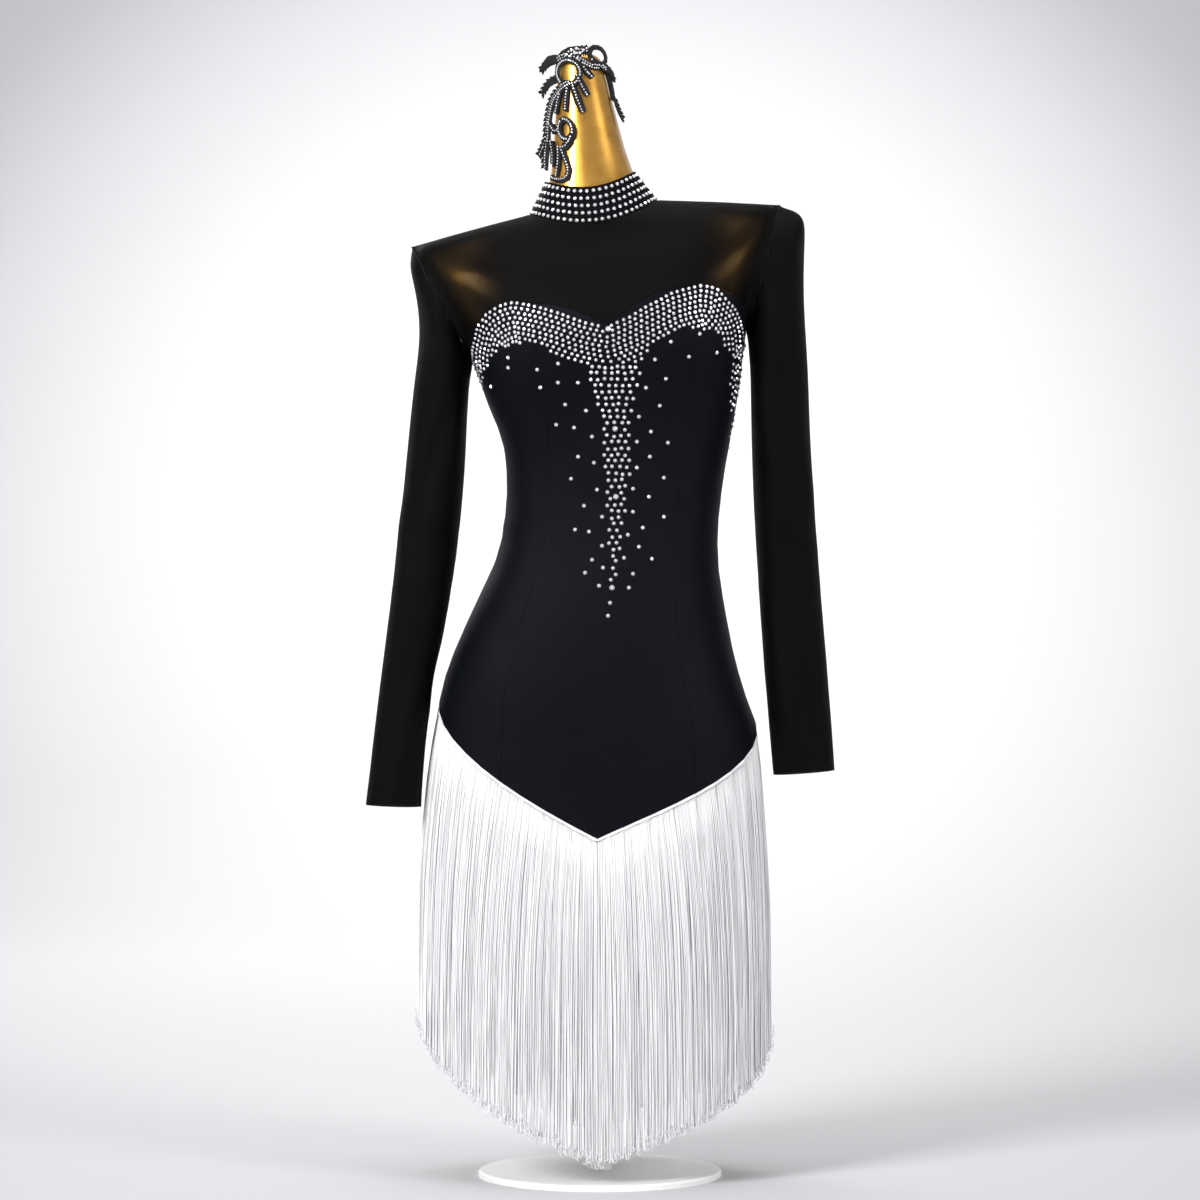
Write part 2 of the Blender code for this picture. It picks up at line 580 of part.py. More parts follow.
def bar(radius, half, y, sides=16):
    """A round bar along x at a height y, as a loose mesh."""
    mesh = bmesh.new()
    bmesh.ops.create_cone(
        mesh, cap_ends=True, segments=sides, radius1=radius, radius2=radius, depth=2 * half
    )
    turn = Matrix.Translation((0, y, 0)) @ Matrix.Rotation(math.pi / 2, 4, "Y")
    bmesh.ops.transform(mesh, verts=mesh.verts, matrix=turn)
    return mesh


def loose(mesh):
    data = bpy.data.meshes.new("loose")
    mesh.to_mesh(data)
    mesh.free()
    return bpy.data.objects.new("loose", data)


def combined(first, others):
    """The first mesh joined to or cut by the others in turn, as one bmesh."""
    scene = bpy.context.scene.collection
    base = loose(first)
    scene.objects.link(base)
    for operation, mesh in others:
        tool = loose(mesh)
        scene.objects.link(tool)
        step = base.modifiers.new(operation, "BOOLEAN")
        step.operation, step.object, step.solver = operation, tool, "EXACT"
        bpy.context.view_layer.update()
        result = bpy.data.meshes.new_from_object(
            base.evaluated_get(bpy.context.evaluated_depsgraph_get())
        )
        base.modifiers.clear()
        base.data = result
        bpy.data.objects.remove(tool)
    made = bmesh.new()
    made.from_mesh(base.data)
    bpy.data.objects.remove(base)
    return made


def add_zip_slider():
    body = block(
        (-SLIDER_HALF, SLIDER_LOW, -SLIDER_LONG / 2), (SLIDER_HALF, SLIDER_TOP, SLIDER_LONG / 2)
    )
    bmesh.ops.bevel(body, geom=body.edges[:], offset=SLIDER_EDGE, segments=1, affect="EDGES")
    parts = []
    for side in (-1, 1):
        at, half = side * EAR_AT, EAR_WALL / 2
        low, high = (at - half, EAR_LOW, -EAR_LONG / 2), (at + half, EAR_TOP, EAR_LONG / 2)
        parts.append(("UNION", block(low, high)))
    parts.append(("UNION", bar(PIN_RADIUS, EAR_AT + OVERLAP, PIN_UP)))
    mesh = combined(body, parts)
    bmesh.ops.transform(mesh, verts=mesh.verts, matrix=slider_frame())
    add_to_part("zip_slider", mesh, GREY_METAL, smooth=False)


def add_zip_pull():
    """The tab's ring turns on the slider's pin; the object's origin is on the pin's axis."""
    half_wall = TAB_WALL / 2
    plate = block(
        (-TAB_HALF, PIN_UP - half_wall, -TAB_LONG),
        (TAB_HALF, PIN_UP + half_wall, -TAB_HOLE - OVERLAP),
    )
    bmesh.ops.bevel(plate, geom=plate.edges[:], offset=TAB_EDGE, segments=1, affect="EDGES")
    hole = bar(TAB_HOLE, 2 * TAB_HALF, PIN_UP)
    mesh = combined(bar(TAB_RING, TAB_HALF, PIN_UP), [("UNION", plate), ("DIFFERENCE", hole)])
    to_pin = Matrix.Translation((0, -PIN_UP, 0))
    tilt = Matrix.Rotation(math.radians(TAB_TILT), 4, "X")
    frame = slider_frame() @ Matrix.Translation((0, PIN_UP, 0))
    pin = frame.translation.copy()
    frame.translation = (0, 0, 0)
    bmesh.ops.transform(mesh, verts=mesh.verts, matrix=frame @ tilt @ to_pin)
    add_to_part("zip_pull", mesh, GREY_METAL, smooth=False).location = pin


# ---- dress form ----
def form_point(face, s, h):
    inset = float(np.interp(h, *zip(*FORM_INSETS)))
    return skin(face, s, h) - inset * outward(face, s, h)


def form_ring(h):
    """The front arc, the closed arm end on the right, the back arc and the one on the left."""
    places = np.linspace(-FORM_ARC, FORM_ARC, FORM_ARC_POINTS)
    front = [form_point(FRONT, float(s), h) for s in places]
    back = [form_point(BACK, float(s), h) for s in reversed(places)]
    right, left = [], []
    for points, start, end, side in ((right, front[-1], back[0], 1), (left, back[-1], front[0], -1)):
        edge = form_point(FRONT, side, h)[0] - (start[0] + end[0]) / 2
        reach = side * abs(edge) if armhole(h) == 0 else side * (1 + SHOULDER_CAP * armhole(h))
        for i in range(FORM_SIDE_POINTS):
            share = (i + 1) / (FORM_SIDE_POINTS + 1)
            out = np.array([reach * 4 * share * (1 - share), 0, 0])
            points.append(start + (end - start) * share + out)
    return front + right + back + left


def neck_circle(centre, radius):
    """Points of a level circle that follow one another as those of a form ring do."""
    arc = [float(s) for s in np.linspace(-FORM_ARC, FORM_ARC, FORM_ARC_POINTS)]
    step = 2 * (1 - FORM_ARC) / (FORM_SIDE_POINTS + 1)
    side = [FORM_ARC + step * (i + 1) for i in range(FORM_SIDE_POINTS)]
    places = arc + side + [2 + s for s in arc] + [2 + s for s in side]
    return [
        np.array(centre) + radius * np.array([math.sin(s * math.pi / 2), -math.cos(s * math.pi / 2), 0])
        for s in places
    ]


def add_form():
    rings = []
    lowest = form_ring(FORM_LEVELS[0])
    middle = np.mean(lowest, axis=0)
    for angle in FORM_BASE_TURNS:
        size = FORM_BASE_SHARE + (1 - FORM_BASE_SHARE) * math.cos(math.radians(angle))
        sink = math.sin(math.radians(angle))
        ring = []
        for point in lowest:
            x, y = middle[:2] + (point[:2] - middle[:2]) * size
            ring.append(np.array([x, y, point[2] + (FORM_BOTTOM - point[2]) * sink]))
        rings.append(ring)
    rings += [form_ring(h) for h in FORM_LEVELS]
    base, top = rings[-1], neck_circle(NECK_TOP, NECK_TOP_RADIUS)
    for share in (0.5, 1.0):
        rings.append([a + (b - a) * share for a, b in zip(base, top)])
    for rise, radius in NECK_DOME:
        rings.append(neck_circle(np.array(NECK_TOP) + [0, 0, rise], radius))
    mesh = bmesh.new()
    verts = [[mesh.verts.new(Vector(p) * MM) for p in ring] for ring in rings]
    for low, high in zip(verts, verts[1:]):
        for j in range(len(low)):
            k = (j + 1) % len(low)
            mesh.faces.new((low[j], low[k], high[k], high[j]))
    mesh.faces.new(verts[0])
    mesh.faces.new(verts[-1])
    add_to_part("form", mesh, BROWN_GLOSS)


def add_pole_and_foot():
    heights = [
        ("pole", POLE_RADIUS, FOOT_HIGH + SEAM, FORM_BOTTOM - SEAM, 24, 0.0),
        ("foot", FOOT_RADIUS, 0.0, FOOT_HIGH, 36, 1.5),
    ]
    for name, radius, low, high, sides, edge in heights:
        mesh = bmesh.new()
        bmesh.ops.create_cone(
            mesh, cap_ends=True, segments=sides, radius1=radius * MM, radius2=radius * MM,
            depth=(high - low) * MM,
        )
        bmesh.ops.translate(mesh, verts=mesh.verts, vec=(0, 0, (low + high) / 2 * MM))
        if edge:
            top = [e for e in mesh.edges if min(v.co.z for v in e.verts) > (high - 0.1) * MM]
            bmesh.ops.bevel(mesh, geom=top, offset=edge * MM, segments=1, affect="EDGES")
        add_to_part(name, mesh, WHITE_METAL)


# ---- lace spray on the neck ----
def neck_place(u, w, out):
    """A flat place laid on the neck's cone, out from its surface."""
    side = 1 if u > 0 else -1
    radius = NECK_LOW_RADIUS + (NECK_TOP_RADIUS - NECK_LOW_RADIUS) * w / NECK_SLOPE
    turn = min(abs(u) / radius, LACE_LEAVES[side])
    past = abs(u) - turn * radius
    low = form_point(FRONT, side * turn * 2 / math.pi, COLLAR_TOP)
    away = np.array([side * math.sin(turn), -math.cos(turn), 0])
    over = np.array([side * math.cos(turn), math.sin(turn), 0])
    top = np.array(NECK_TOP) + NECK_TOP_RADIUS * away
    return low + (top - low) * w / NECK_SLOPE + past * over + out * (away + [0, 0, 0.15])


def wrapped(rows, layer):
    """Inner and outer wall points of flat rows. Each layer is a hair thicker than the one before."""
    step = LACE_STEP * layer
    outer = [[neck_place(u, w, LACE_GAP + LACE_WALL + step) for u, w in row] for row in rows]
    inner = [[neck_place(u, w, LACE_GAP + step) for u, w in row] for row in rows]
    return outer, inner


def frond_mesh(frond, layer):
    """A strip along a smooth line through the frond's points."""
    table = [Spot(i, *point) for i, point in enumerate(frond.points)]
    length = sum(math.dist(a, b) for a, b in zip(frond.points, frond.points[1:]))
    count = max(3, round(length / LACE_STATION))
    rows = []
    for i in range(count + 1):
        share = i / count
        place = share * (len(table) - 1)
        spot = along(table, place)
        ahead, behind = along(table, place + 0.05), along(table, place - 0.05)
        run = np.array([ahead.u - behind.u, ahead.w - behind.w])
        run /= np.linalg.norm(run)
        half = frond.root + (frond.tip - frond.root) * share + frond.belly * math.sin(math.pi * share)
        rows.append([(spot.u - side * run[1] * half, spot.w + side * run[0] * half) for side in (-1, 1)])
    return shell(*wrapped(rows, layer), scale=1)


def loop_mesh(loop, layer):
    turns = [2 * math.pi * i / LACE_LOOP_SIDES for i in range(LACE_LOOP_SIDES)]
    rows = [
        [
            (loop.u + (loop.wide + half) * math.cos(a), loop.w + (loop.high + half) * math.sin(a))
            for a in turns
        ]
        for half in (-loop.half, loop.half)
    ]
    return shell(*wrapped(rows, layer), closed_round=True, scale=1)


def add_neck_lace():
    meshes = [frond_mesh(frond, i) for i, frond in enumerate(LACE_FRONDS)]
    meshes += [loop_mesh(loop, len(LACE_FRONDS) + i) for i, loop in enumerate(LACE_LOOPS)]
    for mesh in meshes:
        bmesh.ops.recalc_face_normals(mesh, faces=mesh.faces)
    joined = combined(meshes[0], [("UNION", mesh) for mesh in meshes[1:]])
    bmesh.ops.transform(joined, verts=joined.verts, matrix=Matrix.Scale(MM, 4))
    add_to_part("neck_lace", joined, BLACK_LACE, smooth=False)


def main():
    for old in list(bpy.data.objects):
        bpy.data.objects.remove(old)
    collection = bpy.data.collections.new("ballroom_dress")
    bpy.context.scene.collection.children.link(collection)
    add_bodice()
    add_yoke()
    add_collar()
    add_sleeve("sleeve_left", SLEEVE_LEFT, -1)
    add_sleeve("sleeve_right", SLEEVE_RIGHT, 1)
    add_fringe("fringe_front", FRONT)
    add_fringe("fringe_back", BACK)
    add_zip_chain()
    add_zip_slider()
    add_zip_pull()
    add_neck_lace()
    add_form()
    add_pole_and_foot()


main()
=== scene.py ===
import math
import random
import bmesh
import bpy
import numpy as np
from mathutils import Matrix, Vector
from mathutils.bvhtree import BVHTree


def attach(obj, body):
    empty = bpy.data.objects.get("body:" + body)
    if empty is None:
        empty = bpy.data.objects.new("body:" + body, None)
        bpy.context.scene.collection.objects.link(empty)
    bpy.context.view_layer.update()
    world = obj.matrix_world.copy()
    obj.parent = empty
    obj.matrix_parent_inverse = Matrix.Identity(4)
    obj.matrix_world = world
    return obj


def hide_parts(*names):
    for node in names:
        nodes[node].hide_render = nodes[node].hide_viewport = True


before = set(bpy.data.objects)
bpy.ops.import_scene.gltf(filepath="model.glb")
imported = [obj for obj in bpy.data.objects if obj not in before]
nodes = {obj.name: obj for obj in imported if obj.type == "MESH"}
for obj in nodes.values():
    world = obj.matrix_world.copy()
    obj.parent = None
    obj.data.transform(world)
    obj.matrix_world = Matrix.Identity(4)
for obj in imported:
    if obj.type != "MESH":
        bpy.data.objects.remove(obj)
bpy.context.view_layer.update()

body = "dress_and_form"
scene = bpy.context.scene

# a level camera in front, a little over four metres away
cameraSizes = {"away": 4.25, "high": 0.592, "wide": 1.236, "sensor": 36.0, "reach": 60}
eye = Vector((0, -cameraSizes["away"], cameraSizes["high"]))


def addCamera():
    bpy.ops.object.camera_add(location=eye, rotation=(math.radians(90), 0, 0))
    camera = bpy.context.active_object
    camera.name = "studioCamera"
    camera.data.sensor_width = cameraSizes["sensor"]
    camera.data.lens = cameraSizes["sensor"] * cameraSizes["away"] / cameraSizes["wide"]
    camera.data.clip_end = cameraSizes["reach"]
    scene.camera = camera


addCamera()
print("camera set")


class Wire:
    # one output socket, on which sums and products add their Math nodes
    def __init__(self, finish, socket):
        self.finish, self.socket = finish, socket

    def maths(self, operation, first, second):
        return self.finish.add("ShaderNodeMath", {"operation": operation}, {0: first, 1: second})

    def __add__(self, other):
        return self.maths("ADD", self, other)

    def __radd__(self, other):
        return self.maths("ADD", other, self)

    def __sub__(self, other):
        return self.maths("SUBTRACT", self, other)

    def __rsub__(self, other):
        return self.maths("SUBTRACT", other, self)

    def __mul__(self, other):
        return self.maths("MULTIPLY", self, other)

    def __rmul__(self, other):
        return self.maths("MULTIPLY", other, self)


class Finish:
    # one material: what is the same all over is given by the shader's own socket names
    def __init__(self, name, **fixed):
        self.material = bpy.data.materials.new(name)
        self.material.use_nodes = True
        self.tree = self.material.node_tree
        self.shader = self.tree.nodes["Principled BSDF"]
        for key, value in fixed.items():
            self.shader.inputs[key.replace("_", " ")].default_value = value

    def add(self, kind, settings=None, sockets=None, out=0):
        node = self.tree.nodes.new(kind)
        for key, value in (settings or {}).items():
            if key == "stops":
                ramp = node.color_ramp.elements
                while len(ramp) < len(value):
                    ramp.new(0.5)
                for stop, (place, colour) in zip(ramp, value):
                    stop.position, stop.color = place, colour
            else:
                setattr(node, key, value)
        for key, value in (sockets or {}).items():
            if isinstance(value, Wire):
                self.tree.links.new(value.socket, node.inputs[key])
            else:
                node.inputs[key].default_value = value
        return Wire(self, node.outputs[out])

    def feed(self, socket, wire):
        self.tree.links.new(wire.socket, self.shader.inputs[socket])

    def place(self, own="Object"):
        where = self.add("ShaderNodeTexCoord", out={"Object": 3, "UV": 2}[own])
        return self.add("ShaderNodeMapping", {}, {"Vector": where})

    def attribute(self, name):
        return self.add("ShaderNodeAttribute", {"attribute_name": name}, out=2)

    def noise(self, size, detail=3, rough=0.5):
        sockets = {"Vector": self.place(), "Scale": 1 / size, "Detail": detail, "Roughness": rough}
        return self.add("ShaderNodeTexNoise", {}, sockets)

    def wave(self, size, axis, where, twist=0.0):
        kind = {"wave_type": "BANDS", "bands_direction": axis, "wave_profile": "SIN"}
        sockets = {"Vector": where, "Scale": math.pi / 10 / size, "Distortion": twist, "Detail": 1.0}
        return self.add("ShaderNodeTexWave", kind, sockets)

    def blend(self, share, low, high):
        sockets = {0: share, 6: low, 7: high}
        return self.add("ShaderNodeMix", {"data_type": "RGBA"}, sockets, out=2)

    def ramp(self, share, stops):
        return self.add("ShaderNodeValToRGB", {"stops": stops}, {0: share})

    def bump(self, height, deep, strength=1.0, under=None):
        sockets = {"Height": height, "Distance": deep, "Strength": strength}
        if under:
            sockets["Normal"] = under
        return self.add("ShaderNodeBump", {}, sockets)


def stretchKnit():
    # blue-black stretch cloth: fine ribs, soft cloudy shade and faint ripples
    knit = {
        "low": (0.0018, 0.0022, 0.0038, 1), "high": (0.0032, 0.0040, 0.0068, 1),
        "sheen": (0.55, 0.62, 0.8, 1), "gloss": 0.06,
        "wale": 0.0009, "course": 0.0011, "deep": 0.00018, "ripple": 0.018, "rippleDeep": 0.0012,
    }
    f = Finish("stretchKnit", Roughness=0.52, Sheen_Weight=0.025, Sheen_Roughness=0.3,
               Sheen_Tint=knit["sheen"], Specular_IOR_Level=knit["gloss"])
    cloth = f.place(own="UV")
    wales = f.wave(knit["wale"], "X", cloth)
    courses = f.wave(knit["course"], "Y", cloth)
    patch = f.noise(0.06, 4, 0.55)
    fine = f.noise(0.002, 2, 0.5)
    f.feed("Base Color", f.blend(patch * 0.75 + fine * 0.25, knit["low"], knit["high"]))
    f.feed("Roughness", 0.44 + patch * 0.16)
    stitches = f.bump(wales * 0.7 + courses * 0.3, knit["deep"], 0.5)
    f.feed("Normal", f.bump(f.noise(knit["ripple"], 2, 0.4), knit["rippleDeep"], 0.25, stitches))
    return f.material


def meshKnit(name, solid, tint, opened=0.0):
    # see-through mesh: opened is how much it thins where it is stretched over the form's shoulders
    mesh = {"hole": 0.0012, "deep": 0.0002, "open": 0.1, "cloudy": 0.06, "paler": 1.7}
    f = Finish(name, Roughness=0.6, Sheen_Weight=0.01, Sheen_Roughness=0.4,
               Sheen_Tint=(0.8, 0.78, 0.7, 1), Specular_IOR_Level=0.035)
    cloth = f.place(own="UV")
    across = f.wave(mesh["hole"], "X", cloth)
    along = f.wave(mesh["hole"], "Y", cloth)
    net = across * along
    patch = f.noise(0.05, 3, 0.5)
    f.feed("Base Color", f.blend(patch, tint, tuple(c * mesh["paler"] for c in tint[:3]) + (1,)))
    alpha = solid + mesh["cloudy"] * (patch - 0.5) - mesh["open"] * net
    if opened:
        alpha = alpha - opened * f.attribute("stretched")
    f.feed("Alpha", alpha)
    f.feed("Roughness", 0.5 + patch * 0.15)
    f.feed("Normal", f.bump(net, mesh["deep"], 0.6))
    return f.material


def laceThread():
    lace = {
        "low": (0.003, 0.003, 0.0035, 1), "high": (0.014, 0.013, 0.014, 1), "cord": 0.0009, "deep": 0.0005,
    }
    f = Finish("laceThread", Roughness=0.7, Sheen_Weight=0.05, Specular_IOR_Level=0.2)
    rib = f.wave(lace["cord"], "DIAGONAL", f.place(), 1.0)
    grain = f.noise(0.0012, 3, 0.6)
    f.feed("Base Color", f.blend(grain, lace["low"], lace["high"]))
    f.feed("Normal", f.bump(rib * 0.6 + grain * 0.4, lace["deep"], 0.8))
    return f.material


def ribbedBlack(name, low, high, rib, twist, deep, strength, **fixed):
    # plain black thread or tape, with a slanting rib
    f = Finish(name, **fixed)
    ribs = f.wave(rib, "DIAGONAL", f.place(), twist)
    f.feed("Base Color", f.blend(ribs, low, high))
    f.feed("Normal", f.bump(ribs, deep, strength))
    return f.material


def seamThread():
    return ribbedBlack("seamThread", (0.004, 0.004, 0.0045, 1), (0.011, 0.011, 0.012, 1), 0.0011, 0.6,
                       0.0003, 0.6, Roughness=0.75, Specular_IOR_Level=0.12)


def zipTapeCloth():
    return ribbedBlack("zipTapeCloth", (0.003, 0.003, 0.0035, 1), (0.008, 0.008, 0.009, 1), 0.0009, 0.4,
                       0.0002, 0.5, Roughness=0.7, Specular_IOR_Level=0.1)


def fringeThread():
    # each thread's colour comes from its tone, which holds its own random shade plus painted shade at its tip
    # and on the inner layer, and its ply from waves along it
    thread = {"low": (0.72, 0.72, 0.735, 1), "high": (0.99, 0.99, 1.0, 1), "ply": 0.0011, "deep": 0.0003}
    f = Finish("fringeThread", Roughness=0.62, Sheen_Weight=0.25, Sheen_Roughness=0.5)
    tone = f.attribute("tone")
    twist = f.wave(thread["ply"], "Y", f.place(own="UV"), 0.5)
    f.feed("Base Color", f.blend(tone, thread["low"], thread["high"]))
    f.feed("Normal", f.bump(twist, thread["deep"], 0.5))
    return f.material


def whiteTape():
    tape = {"low": (0.78, 0.78, 0.8, 1), "high": (0.9, 0.9, 0.91, 1), "rib": 0.001, "deep": 0.0003}
    f = Finish("whiteTape", Roughness=0.7, Sheen_Weight=0.3)
    rib = f.wave(tape["rib"], "X", f.place(), 0.3)
    f.feed("Base Color", f.blend(f.noise(0.01), tape["low"], tape["high"]))
    f.feed("Normal", f.bump(rib, tape["deep"], 0.5))
    return f.material


def goldLacquer():
    # gold-brown paint under a clear coat, cloudy and finely speckled
    gold = {
        "stops": [(0.3, (0.26, 0.125, 0.014, 1)), (0.5, (0.46, 0.235, 0.032, 1)),
                  (0.72, (0.58, 0.33, 0.06, 1))],
        "cloud": 0.05, "speck": 0.0025, "dent": 0.012, "deep": 0.0006,
    }
    f = Finish("goldLacquer", Metallic=0.72, Coat_Weight=0.6, Coat_Roughness=0.06, Coat_IOR=1.5)
    cloud = f.noise(gold["cloud"], 5, 0.6)
    speck = f.noise(gold["speck"], 3, 0.7)
    f.feed("Base Color", f.ramp(cloud * 0.8 + speck * 0.2, gold["stops"]))
    f.feed("Roughness", 0.22 + cloud * 0.16)
    f.feed("Normal", f.bump(f.noise(gold["dent"], 2, 0.4), gold["deep"], 0.12))
    return f.material


def stoneGlass():
    f = Finish("stoneGlass", Metallic=0.6, Roughness=0.08)
    spark = f.noise(0.004, 1, 0.5)
    f.feed("Base Color", f.blend(spark, (0.86, 0.87, 0.92, 1), (1, 1, 1, 1)))
    f.feed("Roughness", 0.04 + spark * 0.14)
    return f.material


def zipNylon():
    f = Finish("zipNylon", Roughness=0.45)
    f.feed("Base Color", f.blend(f.noise(0.002), (0.006, 0.006, 0.007, 1), (0.02, 0.02, 0.022, 1)))
    f.feed("Normal", f.bump(f.wave(0.0008, "Z", f.place()), 0.0003, 0.6))
    return f.material


def zipLacquer():
    f = Finish("zipLacquer", Metallic=0.5, Roughness=0.28)
    f.feed("Base Color", f.blend(f.noise(0.003, 4), (0.008, 0.008, 0.009, 1), (0.03, 0.03, 0.033, 1)))
    f.feed("Roughness", 0.2 + 0.2 * f.noise(0.0015, 3))
    return f.material


def whitePowder():
    # powder-coated steel with a fine orange peel
    f = Finish("whitePowder", Roughness=0.45)
    peel = f.noise(0.0016, 3, 0.5)
    f.feed("Base Color", f.blend(f.noise(0.05, 4), (0.80, 0.80, 0.80, 1), (0.88, 0.88, 0.87, 1)))
    f.feed("Roughness", 0.38 + peel * 0.2)
    f.feed("Normal", f.bump(peel, 0.0002, 0.4))
    return f.material


def stagePaperPaintedFalloff():
    # white paper with a painted falloff of light: it darkens away from a spot on the wall behind the dress,
    # and turns lighter again far from it
    paper = {
        "spot": (0, 6.2, 0.62), "squeeze": (1, 0.25, 1), "reach": 14,
        "stops": [(0.0, (0.9, 0.9, 0.9, 1)), (0.05, (0.87, 0.87, 0.875, 1)), (0.0875, (0.73, 0.728, 0.74, 1)),
                  (0.1125, (0.60, 0.596, 0.61, 1)), (0.1375, (0.43, 0.425, 0.445, 1)),
                  (0.165, (0.36, 0.356, 0.375, 1)), (0.23, (0.8, 0.8, 0.81, 1))],
    }
    f = Finish("stagePaperPaintedFalloff", Roughness=0.95, Specular_IOR_Level=0.1)
    vector = "ShaderNodeVectorMath"
    spot = f.add(vector, {"operation": "ADD"}, {0: f.place(), 1: tuple(-c for c in paper["spot"])})
    spot = f.add(vector, {"operation": "MULTIPLY"}, {0: spot, 1: paper["squeeze"]})
    away = f.add(vector, {"operation": "LENGTH"}, {0: spot}, out=1)
    # painted shade: the ramp sets the paper's colour by distance from the spot, where the wall wash also aims
    f.feed("Base Color", f.ramp(away * (1 / paper["reach"]), paper["stops"]))
    return f.material


finishes = {
    "knit": stretchKnit(),
    "yoke": meshKnit("yokeMesh", 0.965, (0.0024, 0.0022, 0.002, 1), 0.38),
    "sleeve": meshKnit("sleeveMesh", 0.96, (0.0016, 0.0018, 0.0018, 1)),
    "collar": meshKnit("collarMesh", 0.97, (0.0024, 0.0024, 0.003, 1)),
    "lace": laceThread(),
    "seam": seamThread(),
    "fringe": fringeThread(),
    "tape": whiteTape(),
    "gold": goldLacquer(),
    "stone": stoneGlass(),
    "nylon": zipNylon(),
    "tapeBlack": zipTapeCloth(),
    "lacquer": zipLacquer(),
    "powder": whitePowder(),
    "paper": stagePaperPaintedFalloff(),
}
print("finishes made")


def only(piece):
    for other in bpy.context.selected_objects:
        other.select_set(False)
    piece.select_set(True)
    bpy.context.view_layer.objects.active = piece


def inEditMode(piece, *steps):
    # runs operators on the whole piece, each given as (operator, settings)
    only(piece)
    bpy.ops.object.mode_set(mode="EDIT")
    for operator, settings in steps:
        bpy.ops.mesh.select_all(action="SELECT")
        operator(**settings)
    bpy.ops.object.mode_set(mode="OBJECT")


def apply(piece, kind, **settings):
    only(piece)
    step = piece.modifiers.new(kind.lower(), kind)
    for key, value in settings.items():
        setattr(step, key, value)
    bpy.ops.object.modifier_apply(modifier=step.name)


def smoothed(piece, angle=40):
    only(piece)
    bpy.ops.object.shade_smooth_by_angle(angle=math.radians(angle))


def linked(name, data):
    piece = bpy.data.objects.new(name, data)
    scene.collection.objects.link(piece)
    return piece


def pieceOf(name, verts, faces, edges=()):
    data = bpy.data.meshes.new(name)
    data.from_pydata(verts, edges, faces)
    return linked(name, data)


def pieceFrom(name, mesh):
    data = bpy.data.meshes.new(name)
    mesh.to_mesh(data)
    mesh.free()
    return linked(name, data)


def copyOf(name, node):
    # a merged copy of a solid, as its own piece
    piece = linked(name, nodes[node].data.copy())
    inEditMode(piece, (bpy.ops.mesh.remove_doubles, {"threshold": 0.00002}))
    return piece


def quadsOf(piece, flat):
    settings = {"face_threshold": math.radians(flat), "shape_threshold": math.radians(60)}
    inEditMode(piece, (bpy.ops.mesh.tris_convert_to_quads, settings))


def settle(piece, finish):
    piece.data.materials.clear()
    piece.data.materials.append(finishes[finish])
    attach(piece, body)
    return piece


def treeOf(piece):
    mesh = bmesh.new()
    mesh.from_mesh(piece.data)
    tree = BVHTree.FromBMesh(mesh)
    mesh.free()
    return tree


def firstHit(names, start, way):
    # the nearest cloth that a ray meets: (place, normal, face, distance), or None
    hits = [skins[node].ray_cast(start, way) for node in names]
    return min((hit for hit in hits if hit[0]), key=lambda hit: hit[3], default=None)


# cloth: each panel is a thin shell on its solid's outside; middles are (z, x) or (z, x, y)
clothSizes = {
    "wall": 0.0009,
    "bodyMiddle": [
        (0.33, -0.003), (0.51, -0.004), (0.68, 0.012), (0.76, 0.018), (0.85, 0.010), (1.06, -0.012),
    ],
    "sleeveMiddle": {
        "sleeve_left": [
            (0.38, -0.212, -0.014), (0.59, -0.185, -0.004), (0.76, -0.168, 0), (0.955, -0.163, 0),
        ],
        "sleeve_right": [
            (0.41, 0.2095, -0.012), (0.60, 0.195, -0.004), (0.77, 0.186, 0), (0.99, 0.18, 0),
        ],
    },
    "bodyRadius": 0.13, "sleeveRadius": 0.042,
    "bend": 72, "backward": -0.3, "flat": 60,
    "stretchFrom": 0.08, "stretchTo": 0.145, "soft": 0.007, "rayBefore": 0.02, "rayLength": 0.09,
    "seenFrom": 0.2,
}
# how a crease runs: its wobble, how its ends fade, and the low ridges beside it
creaseShape = {
    "wobble": 0.12, "waves": 9, "shift": 300, "fadeFrom": 0.05, "fade": 0.7, "ridge": 0.45, "ridgeAt": 1.7,
    "facing": 7,
}
